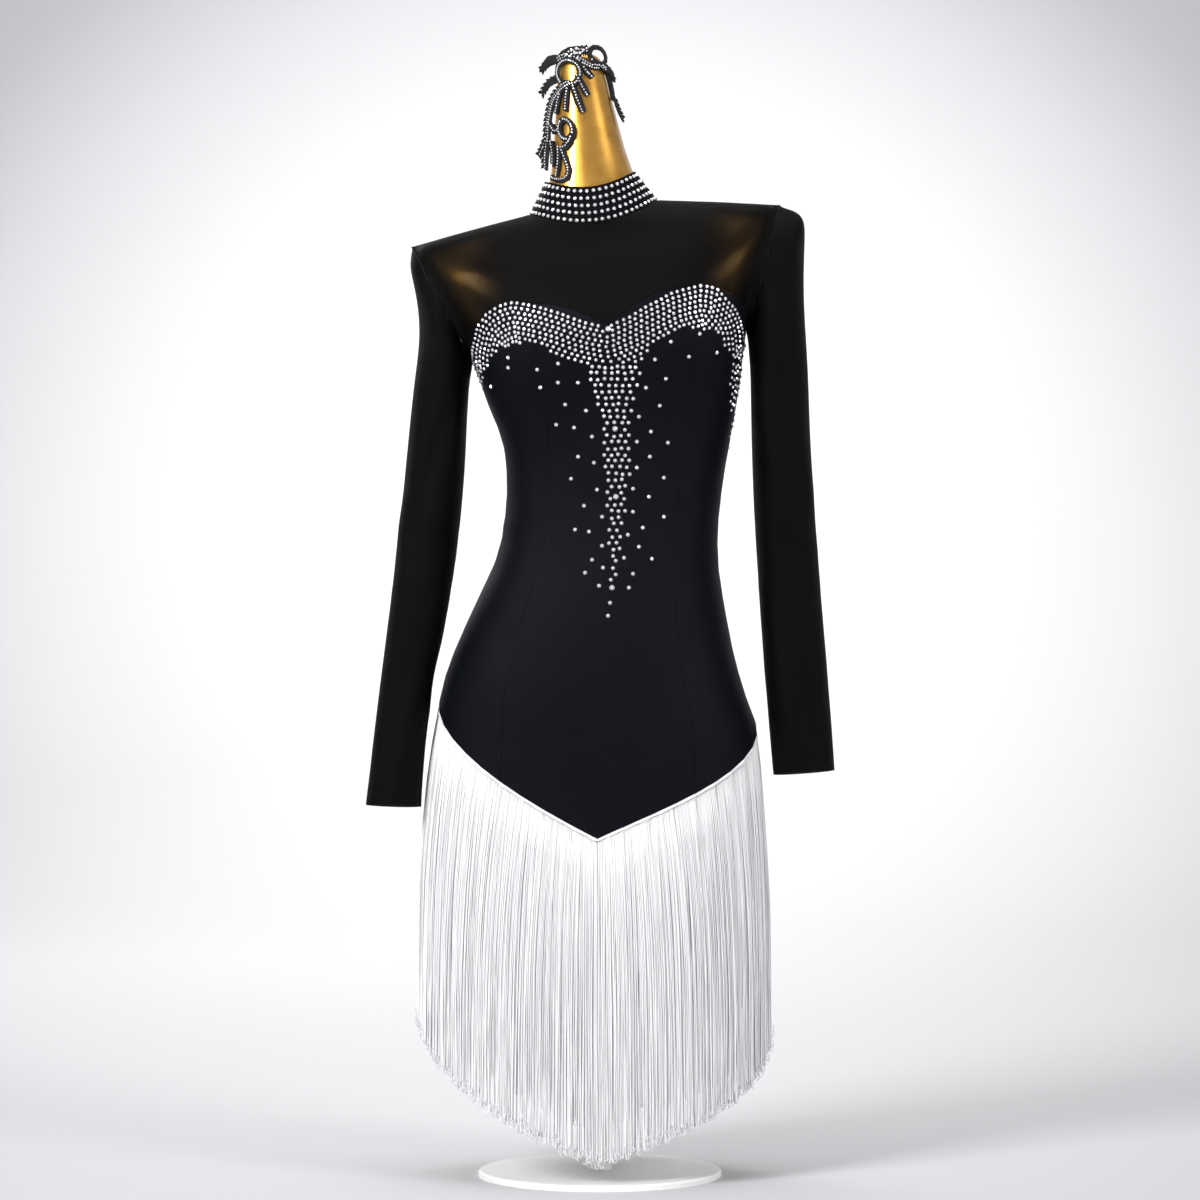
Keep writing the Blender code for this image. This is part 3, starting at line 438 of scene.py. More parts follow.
# creases are (x1, z1, x2, z2, y side, half width, depth)
bodyCreases = {
    "bodice_front_left": [
        (-0.082, 0.86, -0.052, 0.66, -1, 0.012, 0.0009),
        (-0.100, 0.70, -0.070, 0.66, -1, 0.009, 0.0008),
        (-0.112, 0.66, -0.060, 0.635, -1, 0.007, 0.0007),
        (-0.118, 0.60, -0.075, 0.50, -1, 0.014, 0.0007),
        (-0.128, 0.845, -0.100, 0.80, -1, 0.008, 0.0008),
    ],
    "bodice_front_middle": [
        (-0.035, 0.70, 0.048, 0.676, -1, 0.009, 0.0006),
        (-0.030, 0.60, 0.010, 0.46, -1, 0.020, 0.0008),
        (0.012, 0.87, 0.014, 0.80, -1, 0.012, 0.0010),
    ],
    "bodice_front_right": [
        (0.100, 0.86, 0.078, 0.66, -1, 0.012, 0.0009),
        (0.118, 0.71, 0.080, 0.672, -1, 0.008, 0.0008),
        (0.122, 0.655, 0.082, 0.640, -1, 0.007, 0.0007),
        (0.120, 0.60, 0.070, 0.49, -1, 0.014, 0.0007),
        (0.146, 0.85, 0.112, 0.81, -1, 0.008, 0.0008),
    ],
    "bodice_back_left": [
        (-0.090, 0.80, -0.020, 0.745, 1, 0.009, 0.0009),
        (-0.085, 0.70, -0.012, 0.69, 1, 0.008, 0.0010),
        (-0.080, 0.675, -0.010, 0.650, 1, 0.007, 0.0009),
        (-0.115, 0.56, -0.040, 0.50, 1, 0.012, 0.0008),
    ],
    "bodice_back_right": [
        (0.110, 0.80, 0.038, 0.748, 1, 0.009, 0.0009),
        (0.104, 0.71, 0.030, 0.685, 1, 0.008, 0.0010),
        (0.100, 0.67, 0.034, 0.658, 1, 0.007, 0.0009),
        (0.112, 0.55, 0.036, 0.49, 1, 0.012, 0.0008),
    ],
    "yoke_front": [
        (-0.120, 0.955, -0.085, 0.905, -1, 0.010, 0.0009),
        (0.140, 0.985, 0.110, 0.925, -1, 0.010, 0.0009),
        (-0.020, 0.985, 0.012, 0.900, -1, 0.018, 0.0009),
    ],
    "yoke_back_left": [(-0.110, 0.930, -0.040, 0.870, 1, 0.012, 0.0009)],
    "yoke_back_right": [(0.125, 0.950, 0.060, 0.880, 1, 0.012, 0.0009)],
    "collar": [],
}
sleeveCreases = {
    "sleeve_left": [
        (-0.180, 0.930, -0.172, 0.72, -1, 0.012, 0.0035),
        (-0.150, 0.820, -0.188, 0.66, -1, 0.009, 0.0030),
        (-0.196, 0.70, -0.178, 0.60, -1, 0.008, 0.0032),
        (-0.150, 0.655, -0.196, 0.630, -1, 0.006, 0.0024),
        (-0.158, 0.600, -0.205, 0.585, -1, 0.006, 0.0022),
        (-0.190, 0.58, -0.215, 0.40, -1, 0.010, 0.0030),
        (-0.180, 0.50, -0.198, 0.39, -1, 0.007, 0.0022),
        (-0.160, 0.90, -0.165, 0.62, 1, 0.013, 0.0035),
        (-0.190, 0.65, -0.178, 0.52, 1, 0.009, 0.0030),
        (-0.170, 0.52, -0.215, 0.44, 1, 0.008, 0.0026),
    ],
    "sleeve_right": [
        (0.200, 0.960, 0.190, 0.76, -1, 0.012, 0.0035),
        (0.170, 0.850, 0.202, 0.69, -1, 0.009, 0.0030),
        (0.206, 0.72, 0.186, 0.62, -1, 0.008, 0.0032),
        (0.166, 0.665, 0.212, 0.640, -1, 0.006, 0.0024),
        (0.172, 0.612, 0.214, 0.600, -1, 0.006, 0.0022),
        (0.186, 0.60, 0.215, 0.44, -1, 0.010, 0.0030),
        (0.215, 0.54, 0.205, 0.43, -1, 0.007, 0.0022),
        (0.180, 0.93, 0.186, 0.66, 1, 0.013, 0.0035),
        (0.210, 0.68, 0.192, 0.55, 1, 0.009, 0.0030),
        (0.180, 0.54, 0.215, 0.47, 1, 0.008, 0.0026),
    ],
}
skins, rims = {}, {}    # each panel's outer surface as a tree, and its boundary edges
formTree = treeOf(nodes["form"])


def bodyMiddle(z):
    table = clothSizes["bodyMiddle"]
    return float(np.interp(z, [p[0] for p in table], [p[1] for p in table])), 0.0


def sleeveMiddle(node):
    table = clothSizes["sleeveMiddle"][node]
    heights = [p[0] for p in table]
    return lambda z: (
        float(np.interp(z, heights, [p[1] for p in table])),
        -float(np.interp(z, heights, [p[2] for p in table])),
    )


def keepOutside(piece, way):
    # spreads from the face that looks most along way, over soft bends only, and drops the rest
    mesh = bmesh.new()
    mesh.from_mesh(piece.data)
    mesh.faces.ensure_lookup_table()
    start = max(mesh.faces, key=lambda f: way(f.calc_center_median()).dot(f.normal) * f.calc_area() ** 0.25)
    keep, todo = {start}, [start]
    limit = math.radians(clothSizes["bend"])
    while todo:
        for edge in todo.pop().edges:
            if len(edge.link_faces) == 2 and edge.calc_face_angle(9) < limit:
                for face in edge.link_faces:
                    looks = way(face.calc_center_median()).dot(face.normal)
                    if face not in keep and looks > clothSizes["backward"]:
                        keep.add(face)
                        todo.append(face)
    bmesh.ops.delete(mesh, geom=[f for f in mesh.faces if f not in keep], context="FACES")
    mesh.to_mesh(piece.data)
    mesh.free()
    quadsOf(piece, clothSizes["flat"])


def pinEdges(piece, low):
    # edge points stay put when the cloth is rounded, so that panels still meet at their seams
    mesh = bmesh.new()
    mesh.from_mesh(piece.data)
    ends = [v for v in mesh.verts if v.is_boundary]
    middle = sum(v.co.z for v in ends) / len(ends)
    pinned = [v.index for v in ends if low or v.co.z > middle]
    mesh.free()
    pin = piece.data.attributes.new("crease_vert", "FLOAT", "POINT")
    for index in pinned:
        pin.data[index].value = 1.0


def crease(piece, lines):
    # soft valleys with low ridges beside them, pressed in along the normals
    shape = creaseShape
    mesh = piece.data
    count = len(mesh.vertices)
    places, normals = np.empty(count * 3), np.empty(count * 3)
    mesh.vertices.foreach_get("co", places)
    mesh.vertices.foreach_get("normal", normals)
    places, normals = places.reshape(-1, 3), normals.reshape(-1, 3)
    move = np.zeros(count)
    for x1, z1, x2, z2, side, half, deep in lines:
        run = np.array([x2 - x1, z2 - z1])
        length = np.linalg.norm(run)
        rel = places[:, [0, 2]] - [x1, z1]
        share = np.clip(rel @ run / length**2, 0, 1)
        off = rel - share[:, None] * run
        bend = shape["wobble"] * half * np.sin(share * shape["waves"] + x1 * shape["shift"])
        away = (off[:, 0] * run[1] - off[:, 1] * run[0]) / length + bend
        past = np.maximum(np.linalg.norm(off, axis=1) ** 2 - away**2, 0) ** 0.5
        inner = share * (1 - 2 * shape["fadeFrom"]) + shape["fadeFrom"]
        ends = np.sin(np.pi * np.clip(inner, 0, 1)) ** shape["fade"]
        ends = ends * np.exp(-((past / (2 * half)) ** 2))
        seen = 1 / (1 + np.exp(-normals[:, 1] * side * shape["facing"]))
        beside = np.exp(-(((np.abs(away) - shape["ridgeAt"] * half) / half) ** 2))
        wave = np.exp(-((away / half) ** 2)) - shape["ridge"] * beside
        move -= deep * wave * ends * seen
    mesh.vertices.foreach_set("co", (places + normals * move[:, None]).ravel())
    mesh.update()


def layFlat(piece, middle, radius):
    # a UV map in metres: round the body, and up
    mesh = piece.data
    layer = mesh.uv_layers.new(name="cloth")
    for face in mesh.polygons:
        turns = []
        for corner in face.loop_indices:
            spot = mesh.vertices[mesh.loops[corner].vertex_index].co
            x, y = middle(spot.z)
            turns.append(math.atan2(spot.x - x, y - spot.y))
        if max(turns) - min(turns) > math.pi:
            turns = [t + 2 * math.pi if t < 0 else t for t in turns]
        for corner, turn in zip(face.loop_indices, turns):
            spot = mesh.vertices[mesh.loops[corner].vertex_index].co
            layer.data[corner].uv = (turn * radius, spot.z)


def markStretched(piece, node):
    # 1 where the mesh lies over the form's shoulder, fading to 0 at the shoulder's edge and the chest
    sizes = clothSizes
    face = 1 if "front" in node else -1
    steps = (-sizes["soft"], 0, sizes["soft"])
    values = []
    for vert in piece.data.vertices:
        share = (abs(vert.co.x) - sizes["stretchFrom"]) / (sizes["stretchTo"] - sizes["stretchFrom"])
        share = min(max(share, 0), 1)
        seen = 0
        for right in steps:
            for up in steps:
                start = vert.co + Vector((right, -sizes["rayBefore"] * face, up))
                seen += 1 if formTree.ray_cast(start, Vector((0, face, 0)), sizes["rayLength"])[0] else 0
        seen = max(0, seen / len(steps) ** 2 - sizes["seenFrom"]) / (1 - sizes["seenFrom"])
        values.append(share * share * (3 - 2 * share) * seen)
    layer = piece.data.attributes.new("stretched", "FLOAT", "POINT")
    layer.data.foreach_set("value", values)


def panelName(node):
    first, *rest = node.split("_")
    return first + "".join(word.capitalize() for word in rest) + "Cloth"


def outFrom(middle):
    def way(spot):
        x, y = middle(spot.z)
        return Vector((spot.x - x, spot.y - y, 0)).normalized()
    return way


def addCloth(node, way, middle, radius, creases, finish):
    piece = copyOf(panelName(node), node)
    keepOutside(piece, way)
    pinEdges(piece, finish != "sleeve")
    apply(piece, "SUBSURF", levels=2, render_levels=2)
    crease(piece, creases)
    skins[node] = treeOf(piece)
    edges = bmesh.new()
    edges.from_mesh(piece.data)
    rims[node] = [[v.co.copy() for v in e.verts] for e in edges.edges if e.is_boundary]
    edges.free()
    if finish == "yoke":
        markStretched(piece, node)
    apply(piece, "SOLIDIFY", thickness=clothSizes["wall"], offset=-1.0, use_even_offset=False)
    layFlat(piece, middle, radius)
    smoothed(piece)
    settle(piece, finish)
    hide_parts(node)


for node, lines in bodyCreases.items():
    kind = node.split("_")[0]
    finish = "knit" if kind == "bodice" else kind
    ahead = Vector((0, -1 if "front" in node else 1, 0))
    way = outFrom(bodyMiddle) if kind == "collar" else (lambda spot, ahead=ahead: ahead)
    addCloth(node, way, bodyMiddle, clothSizes["bodyRadius"], lines, finish)
for node, lines in sleeveCreases.items():
    middle = sleeveMiddle(node)
    addCloth(node, outFrom(middle), middle, clothSizes["sleeveRadius"], lines, "sleeve")
print("cloth hung")


# armhole seams: a thin ridge where sleeve and yoke are sewn
seamSizes = {"radius": 0.0008, "sides": 6, "round": 60}


def loopsOf(edges):
    # boundary edges joined end to end into closed lines of points
    def key(spot):
        return tuple(round(c, 5) for c in spot)

    near, spots = {}, {}
    for a, b in edges:
        for p, q in ((a, b), (b, a)):
            near.setdefault(key(p), []).append(key(q))
            spots[key(p)] = p
    loops = []
    while near:
        line = [next(iter(near))]
        while True:
            options = [q for q in near.pop(line[-1], []) if q in near]
            if not options:
                break
            line.append(options[0])
        loops.append([spots[k] for k in line])
    return loops


def addSeam(name, points):
    mesh = bmesh.new()
    rings = []
    count, sides = len(points), seamSizes["sides"]
    for i, spot in enumerate(points):
        run = (points[(i + 1) % count] - points[i - 1]).normalized()
        out = Vector((0, 0, 1)).cross(run)
        out = out.normalized() if out.length > 0.1 else Vector((0, 1, 0))
        up = run.cross(out)
        turns = [2 * math.pi * k / sides for k in range(sides)]
        ring = [spot + (out * math.cos(t) + up * math.sin(t)) * seamSizes["radius"] for t in turns]
        rings.append([mesh.verts.new(p) for p in ring])
    for low, high in zip(rings, rings[1:] + rings[:1]):
        for a in range(sides):
            b = (a + 1) % sides
            mesh.faces.new((low[a], low[b], high[b], high[a]))
    bmesh.ops.recalc_face_normals(mesh, faces=mesh.faces)
    piece = pieceFrom(name, mesh)
    smoothed(piece, seamSizes["round"])
    settle(piece, "seam")


for node, name in (("sleeve_left", "armholeSeamLeft"), ("sleeve_right", "armholeSeamRight")):
    addSeam(name, max(loopsOf(rims[node]), key=lambda line: max(p.z for p in line)))
print("armholes sewn")


# the form: the same shell, rounded; the pole, the foot and the zip keep their solids
def addForm():
    piece = copyOf("formShell", "form")
    quadsOf(piece, 50)
    apply(piece, "SUBSURF", levels=1, render_levels=1)
    smoothed(piece, 50)
    settle(piece, "gold")
    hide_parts("form")


addForm()
keptNodes = {
    "pole": "powder", "foot": "powder", "zip_chain": "nylon", "zip_slider": "lacquer", "zip_pull": "lacquer",
}
for name, finish in keptNodes.items():
    nodes[name].data.materials.clear()
    nodes[name].data.materials.append(finishes[finish])
print("form painted")


# fringe: three layers of thin threads that fall from the hem; a layer is (threads, how far out)
# tip and behind lower a thread's tone: painted shade on the last rings at each tip, and on the whole inner
# layer
fringeSizes = {
    "drop": 0.329, "fallX": -0.006, "half": 0.179, "front": 0.114, "back": 0.131,
    "hemHalf": 0.168, "hemDeep": 0.112, "below": 0.003, "hidden": 0.0006, "spread": 0.6, "inner": -0.001,
    "thread": 0.00044, "layers": [(640, 0.0007), (560, -0.0004), (400, -0.0017)],
    "uneven": 0.35, "thick": (0.85, 1.15), "rag": 0.009, "ragged": (-1, 0.6), "short": 0.010,
    "clumps": [(0.0011, 34), (0.0007, 71)], "stray": 0.0012, "strayX": 0.0014, "sway": (0.0002, 0.0012),
    "steps": 8, "curl": 0.0022, "curled": (0.5, 1.3), "curlFlat": 0.35, "curlDown": 1.5, "bend": (1.2, 4.4),
    "curlSteps": 5, "grain": (0.31, 0.95, 0.05), "corners": (0.5, 2.6, 4.7), "lastRing": 0.75,
    "shade": 0.78, "shades": (-0.28, 0.12), "patches": 60, "patch": 0.10, "behind": 0.2, "tip": 0.45,
}


def hemLine(node, face):
    # the upper edge of the fringe's strip, from the left to the right: its angles and points
    def turnOf(p):
        x, y = (p.x - fringeSizes["fallX"]) / fringeSizes["hemHalf"], face * p.y / fringeSizes["hemDeep"]
        return math.atan2(x, y)

    mesh = nodes[node].data
    spots = {}
    for poly in mesh.polygons:
        if poly.normal.z > 0.5:
            for index in poly.vertices:
                spot = mesh.vertices[index].co
                spots[tuple(round(c, 5) for c in spot)] = spot.copy()
    points = sorted(spots.values(), key=turnOf)
    return [turnOf(p) for p in points], points


def onHem(turns, tops, turn):
    return Vector([float(np.interp(turn, turns, [p[k] for p in tops])) for k in range(3)])


def addStrand(mesh, path, radius, tone, toneLayer, uvLayer):
    # a three-sided thread along a path, with painted shade on the last rings at its tip, with a UV map along
    # it in metres
    rings = []
    for i, spot in enumerate(path):
        ahead = path[min(i + 1, len(path) - 1)] - path[max(i - 1, 0)]
        ahead.normalize()
        side = ahead.cross(Vector(fringeSizes["grain"])).normalized()
        other = ahead.cross(side)
        size = radius * (fringeSizes["lastRing"] if i == len(path) - 1 else 1)
        ring = []
        for turn in fringeSizes["corners"]:
            vert = mesh.verts.new(spot + side * math.cos(turn) * size + other * math.sin(turn) * size)
            # painted shade: the last four rings are darkened by tip, as if the cut ends lay in shadow
            vert[toneLayer] = tone - (fringeSizes["tip"] if i >= len(path) - 4 else 0)
            ring.append(vert)
        rings.append(ring)
    down = 0.0
    for i, (low, high) in enumerate(zip(rings, rings[1:])):
        step = (path[i + 1] - path[i]).length
        for a in range(3):
            b = (a + 1) % 3
            face = mesh.faces.new((low[a], low[b], high[b], high[a]))
            face.smooth = True
            corners = ((a, down), (a + 1, down), (a + 1, down + step), (a, down + step))
            for loop, (across, along) in zip(face.loops, corners):
                loop[uvLayer].uv = (across * 0.001, along)
        down += step
    mesh.faces.new(list(reversed(rings[0])))
    mesh.faces.new(rings[-1])


def threadPath(start, end, length, dice):
    # falls from start, eases out over end, and curls at its tip
    sizes = fringeSizes
    sway, phase = dice.uniform(*sizes["sway"]), dice.uniform(0, 6.28)
    path = []
    for k in range(sizes["steps"] + 1):
        share = k / sizes["steps"]
        ease = 1 - (1 - share) ** 3
        x = start.x + (end.x - start.x) * ease + sway * math.sin(phase + share * 8) * share
        y = start.y + (end.y - start.y) * ease
        path.append(Vector((x, y, start.z - share * (length - sizes["short"]))))
    tip, curl, spin = path[-1], sizes["curl"] * dice.uniform(*sizes["curled"]), dice.uniform(0, 6.28)
    flat = Vector((math.cos(spin), sizes["curlFlat"] * math.sin(spin), 0))
    bend = dice.uniform(*sizes["bend"])
    for k in range(1, sizes["curlSteps"] + 1):
        angle = bend * k / sizes["curlSteps"]
        down = Vector((0, 0, curl * sizes["curlDown"] * math.sin(angle)))
        path.append(tip + flat * curl * (1 - math.cos(angle)) - down)
    return path


def addFringe(name, node, face, seed):
    sizes = fringeSizes
    dice = random.Random(seed)
    turns, tops = hemLine(node, face)
    cloud = [dice.random() for _ in range(sizes["patches"])]
    (wide1, waves1), (wide2, waves2) = sizes["clumps"]
    mesh = bmesh.new()
    toneLayer = mesh.verts.layers.float.new("tone")
    uvLayer = mesh.loops.layers.uv.new("cloth")
    for count, out in sizes["layers"]:
        for i in range(count):
            shift = dice.uniform(-sizes["uneven"], sizes["uneven"])
            turn = -math.pi / 2 + math.pi * (i + 0.5 + shift) / count
            outWay = Vector((math.sin(turn), face * math.cos(turn), 0))
            start = onHem(turns, tops, turn)
            start.z -= sizes["below"]
            start += outWay * (out * sizes["spread"] - sizes["hidden"])
            deep = (sizes["front"] if face < 0 else sizes["back"]) + out
            wide = sizes["half"] + out
            clump = wide1 * math.sin(turn * waves1 + seed) + wide2 * math.sin(turn * waves2)
            end = Vector((sizes["fallX"] + wide * math.sin(turn) + clump, face * deep * math.cos(turn), 0))
            end += outWay * dice.uniform(-sizes["stray"], sizes["stray"])
            end.x += dice.uniform(-sizes["strayX"], sizes["strayX"])
            length = sizes["drop"] + dice.uniform(*sizes["ragged"]) * sizes["rag"]
            path = threadPath(start, end, length, dice)
            patch = cloud[int((turn / math.pi + 0.5) * (sizes["patches"] - 0.01))]
            tone = sizes["shade"] + sizes["patch"] * patch + dice.uniform(*sizes["shades"])
            # painted shade: threads of the innermost layer are darkened by behind, as if shadowed by the
            # layers outside them
            tone -= sizes["behind"] if out < sizes["inner"] else 0
            radius = sizes["thread"] * dice.uniform(*sizes["thick"])
            addStrand(mesh, path, radius, tone, toneLayer, uvLayer)
    piece = pieceFrom(name, mesh)
    settle(piece, "fringe")
    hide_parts(node)


addFringe("fringeFrontThreads", "fringe_front", -1, 3)
addFringe("fringeBackThreads", "fringe_back", 1, 8)
print("fringe hung")


# heading tape: a narrow white band along the pointed hem
tapeSizes = {
    "high": 0.0032, "thick": 0.0011, "up": 0.0006, "out": 0.0009, "columns": 120, "edge": 0.0003,
    "uneven": 0.08, "waves": 1.3,
}


def addTape(name, node, face):
    sizes = tapeSizes
    turns, tops = hemLine(node, face)
    mesh = bmesh.new()
    rows = []
    for i in range(sizes["columns"] + 1):
        turn = turns[0] + (turns[-1] - turns[0]) * i / sizes["columns"]
        outWay = Vector((math.sin(turn), face * math.cos(turn), 0))
        spot = onHem(turns, tops, turn) + outWay * sizes["out"] + Vector((0, 0, sizes["up"]))
        high = sizes["high"] * (1 + sizes["uneven"] * math.sin(i * sizes["waves"]))
        low = spot - Vector((0, 0, high))
        inner = -outWay * sizes["thick"]
        rows.append([mesh.verts.new(p) for p in (spot, low, low + inner, spot + inner)])
    for one, two in zip(rows, rows[1:]):
        for a in range(4):
            b = (a + 1) % 4
            mesh.faces.new((one[a], one[b], two[b], two[a]))
    mesh.faces.new(rows[0])
    mesh.faces.new(list(reversed(rows[-1])))
    bmesh.ops.recalc_face_normals(mesh, faces=mesh.faces)
    piece = pieceFrom(name, mesh)
    apply(piece, "BEVEL", width=sizes["edge"], segments=2, limit_method="ANGLE")
    smoothed(piece)
    settle(piece, "tape")


addTape("tapeFront", "fringe_front", -1)
addTape("tapeBack", "fringe_back", 1)
print("tape sewn")


# rhinestones: one faceted stone, copied on to the cloth
stoneSizes = {
    "radius": 0.0022, "high": 0.0018, "sides": 8, "table": 0.5, "girdle": 0.8, "inset": 0.2, "crown": 0.17,
    "pitch": 0.0060, "sunk": 0.0001, "tilt": 0.06,
}


def stoneShape():
    # points and faces of a stone one unit in radius: a cut cone with a raised, inset table
    sizes = stoneSizes
    bpy.ops.mesh.primitive_cone_add(vertices=sizes["sides"], radius1=1, radius2=sizes["table"],
                                    depth=sizes["girdle"], location=(0, 0, sizes["girdle"] / 2))
    piece = bpy.context.active_object
    only(piece)
    bpy.ops.object.transform_apply(location=True, rotation=True, scale=True)
    bpy.ops.object.mode_set(mode="EDIT")
    bpy.ops.mesh.select_all(action="DESELECT")
    mesh = bmesh.from_edit_mesh(piece.data)
    max(mesh.faces, key=lambda f: f.calc_center_median().z).select_set(True)
    bmesh.update_edit_mesh(piece.data)
    bpy.ops.mesh.inset(use_individual=True, use_even_offset=False,
                       thickness=sizes["inset"], depth=sizes["crown"])
    bpy.ops.object.mode_set(mode="OBJECT")
    shape = ([v.co.copy() for v in piece.data.vertices], [list(f.vertices) for f in piece.data.polygons])
    bpy.data.objects.remove(piece)
    return shape


stone = stoneShape()


def addStones(name, spots, seed):
    # spots: place, normal, size
    dice = random.Random(seed)
    wide, high, tilted = stoneSizes["radius"], stoneSizes["high"], stoneSizes["tilt"]
    verts, faces = [], []
    for place, normal, size in spots:
        turn = normal.to_track_quat("Z", "Y").to_matrix() @ Matrix.Rotation(dice.uniform(0, 1), 3, "Z")
        tilt = Matrix.Rotation(dice.uniform(-tilted, tilted), 3, "X")
        tilt = tilt @ Matrix.Rotation(dice.uniform(-tilted, tilted), 3, "Y")
        grow = Matrix.Diagonal((size * wide, size * wide, size * high))
        first = len(verts)
        for co in stone[0]:
            verts.append(place - normal * stoneSizes["sunk"] + turn @ (tilt @ (grow @ co)))
        faces += [[first + i for i in face] for face in stone[1]]
    settle(pieceOf(name, verts, faces), "stone")


bodice = ["bodice_front_left", "bodice_front_middle", "bodice_front_right", "yoke_front",
          "bodice_back_left", "bodice_back_right"]
# the band's upper and lower line across the chest, then the tapering column (z, left x, right x), in metres
bandTop = [
    (-0.1270, 0.818), (-0.1310, 0.834), (-0.1312, 0.850), (-0.1262, 0.873), (-0.1172, 0.886),
    (-0.1043, 0.8946), (-0.0901, 0.8987), (-0.0747, 0.8961), (-0.0592, 0.8925), (-0.0399, 0.8866),
    (-0.0219, 0.8796), (-0.0090, 0.8760), (0.0077, 0.8727), (0.0180, 0.8778), (0.0309, 0.8837),
    (0.0464, 0.8933), (0.0592, 0.8997), (0.0721, 0.9074), (0.0876, 0.9120), (0.1030, 0.9157),
    (0.1133, 0.9146), (0.1223, 0.9113), (0.1313, 0.8997), (0.1391, 0.8920), (0.1442, 0.8804),
    (0.1468, 0.8701), (0.1484, 0.856), (0.1490, 0.842),
]
bandLow = [
    (-0.1210, 0.8199), (-0.1172, 0.8302), (-0.1107, 0.8456), (-0.1017, 0.8513), (-0.0876, 0.8559),
    (-0.0708, 0.8555), (-0.0567, 0.8520), (-0.0489, 0.8469), (-0.0373, 0.8425), (-0.0283, 0.8392),
    (-0.0193, 0.8353), (0.0438, 0.8360), (0.0502, 0.8508), (0.0554, 0.8567), (0.0682, 0.8637),
    (0.0824, 0.8719), (0.0940, 0.8735), (0.1030, 0.8701), (0.1133, 0.8714), (0.1236, 0.8657),
    (0.1288, 0.8534), (0.1365, 0.8431),
]
column = [
    (0.845, -0.019, 0.043), (0.828, -0.014, 0.041), (0.820, -0.0116, 0.0386), (0.807, -0.0052, 0.0348),
    (0.793, -0.0031, 0.0322), (0.778, 0.0030, 0.0309), (0.745, 0.0031, 0.0304), (0.727, 0.0052, 0.0309),
    (0.711, 0.0072, 0.0276), (0.697, 0.0064, 0.0252), (0.678, 0.0095, 0.0252), (0.659, 0.0090, 0.0206),
    (0.647, 0.0103, 0.0200), (0.634, 0.0112, 0.0180), (0.612, 0.0125, 0.0150),
]
# single stones, on a grid of small steps: columns from the left, rows from the top down
stoneGrid = {"step": 0.00103, "middle": 600, "floor": 1175}
looseStones = [
    (508, 358), (508, 368), (537, 370), (540, 388), (558, 364), (558, 383), (578, 383), (565, 405),
    (586, 411), (556, 425), (574, 428), (592, 437), (578, 457), (594, 463), (571, 479), (597, 490),
    (584, 506), (602, 517), (575, 530), (589, 532), (602, 546), (592, 560), (603, 568), (585, 573),
    (599, 586), (491, 387), (655, 360), (648, 349), (671, 342), (700, 334), (689, 357), (717, 353),
    (666, 379), (646, 388), (660, 406), (639, 417), (651, 432), (637, 442), (668, 443), (650, 457),
    (637, 468), (664, 478), (633, 489), (649, 497), (633, 512), (664, 517), (643, 528), (628, 535),
    (639, 547), (624, 558), (652, 559), (633, 574), (629, 588), (612, 579), (610, 603), (608, 616),
]
largeStones = [(608, 329), (615, 429), (616, 497), (612, 588), (472, 366), (744, 346)]
bandSizes = {
    "rows": 11, "stone": 0.86, "apart": 0.74, "lean": 0.75, "fall": -0.25, "rowStep": 0.84, "jitter": 0.0003,
    "samples": 600, "ends": 4,
}
columnSizes = {
    "from": 0.866, "to": 0.61, "dense": 0.83, "gap": (1.06, 1.2), "stone": 0.95, "jitter": 0.0009,
    "offset": 0.25, "extra": 0.3, "rowStep": 0.9,
}


def onCloth(x, z):
    # where the camera's line through a point of the plane y = 0 meets the cloth, and its normal
    way = (Vector((x, 0, z)) - eye).normalized()
    hit = firstHit(bodice, eye, way)
    return hit and (hit[0], hit[1] if hit[1].dot(way) < 0 else -hit[1])


def alongLine(points, share):
    gaps = [math.dist(a, b) for a, b in zip(points, points[1:])]
    far = share * sum(gaps)
    for a, b, gap in zip(points, points[1:], gaps):
        if far <= gap:
            return [p + (q - p) * far / gap for p, q in zip(a, b)]
        far -= gap
    return list(points[-1])


def putStone(spots, x, z, size, apart=0.8):
    hit = onCloth(x, z)
    if hit and all((hit[0] - spot[0]).length > apart * stoneSizes["pitch"] for spot in spots):
        spots.append((hit[0], hit[1], size))
        return True
    return False


def putOnGrid(spots, places, size):
    for px, py in places:
        x, z = px - stoneGrid["middle"], stoneGrid["floor"] - py
        putStone(spots, x * stoneGrid["step"], z * stoneGrid["step"], size)


def putBand(spots, dice):
    # rows that follow the band's upper line, evenly spaced on the cloth
    sizes, pitch = bandSizes, stoneSizes["pitch"]
    ends = sizes["ends"]
    line = [alongLine(bandTop, i / sizes["samples"]) for i in range(sizes["samples"] + 1)]
    lowX, lowZ = [p[0] for p in bandLow], [p[1] for p in bandLow]
    for row in range(sizes["rows"]):
        far, last = pitch * (0.5 if row % 2 else 1.0), None
        for i in range(ends, len(line) - ends):
            run = Vector(line[i + ends]) - Vector(line[i - ends])
            lean = Vector((run.y, -run.x)).normalized() * sizes["lean"] + Vector((0, sizes["fall"]))
            lean = lean * row * pitch * sizes["rowStep"]
            x, z = line[i][0] + lean.x, line[i][1] + lean.y
            hit = onCloth(x, z) if z >= float(np.interp(x, lowX, lowZ)) else None
            if not hit:
                continue
            far += (hit[0] - last).length if last else 0
            last = hit[0]
            if far < pitch:
                continue
            x += dice.uniform(-sizes["jitter"], sizes["jitter"])
            if putStone(spots, x, z, sizes["stone"], sizes["apart"]):
                far = 0


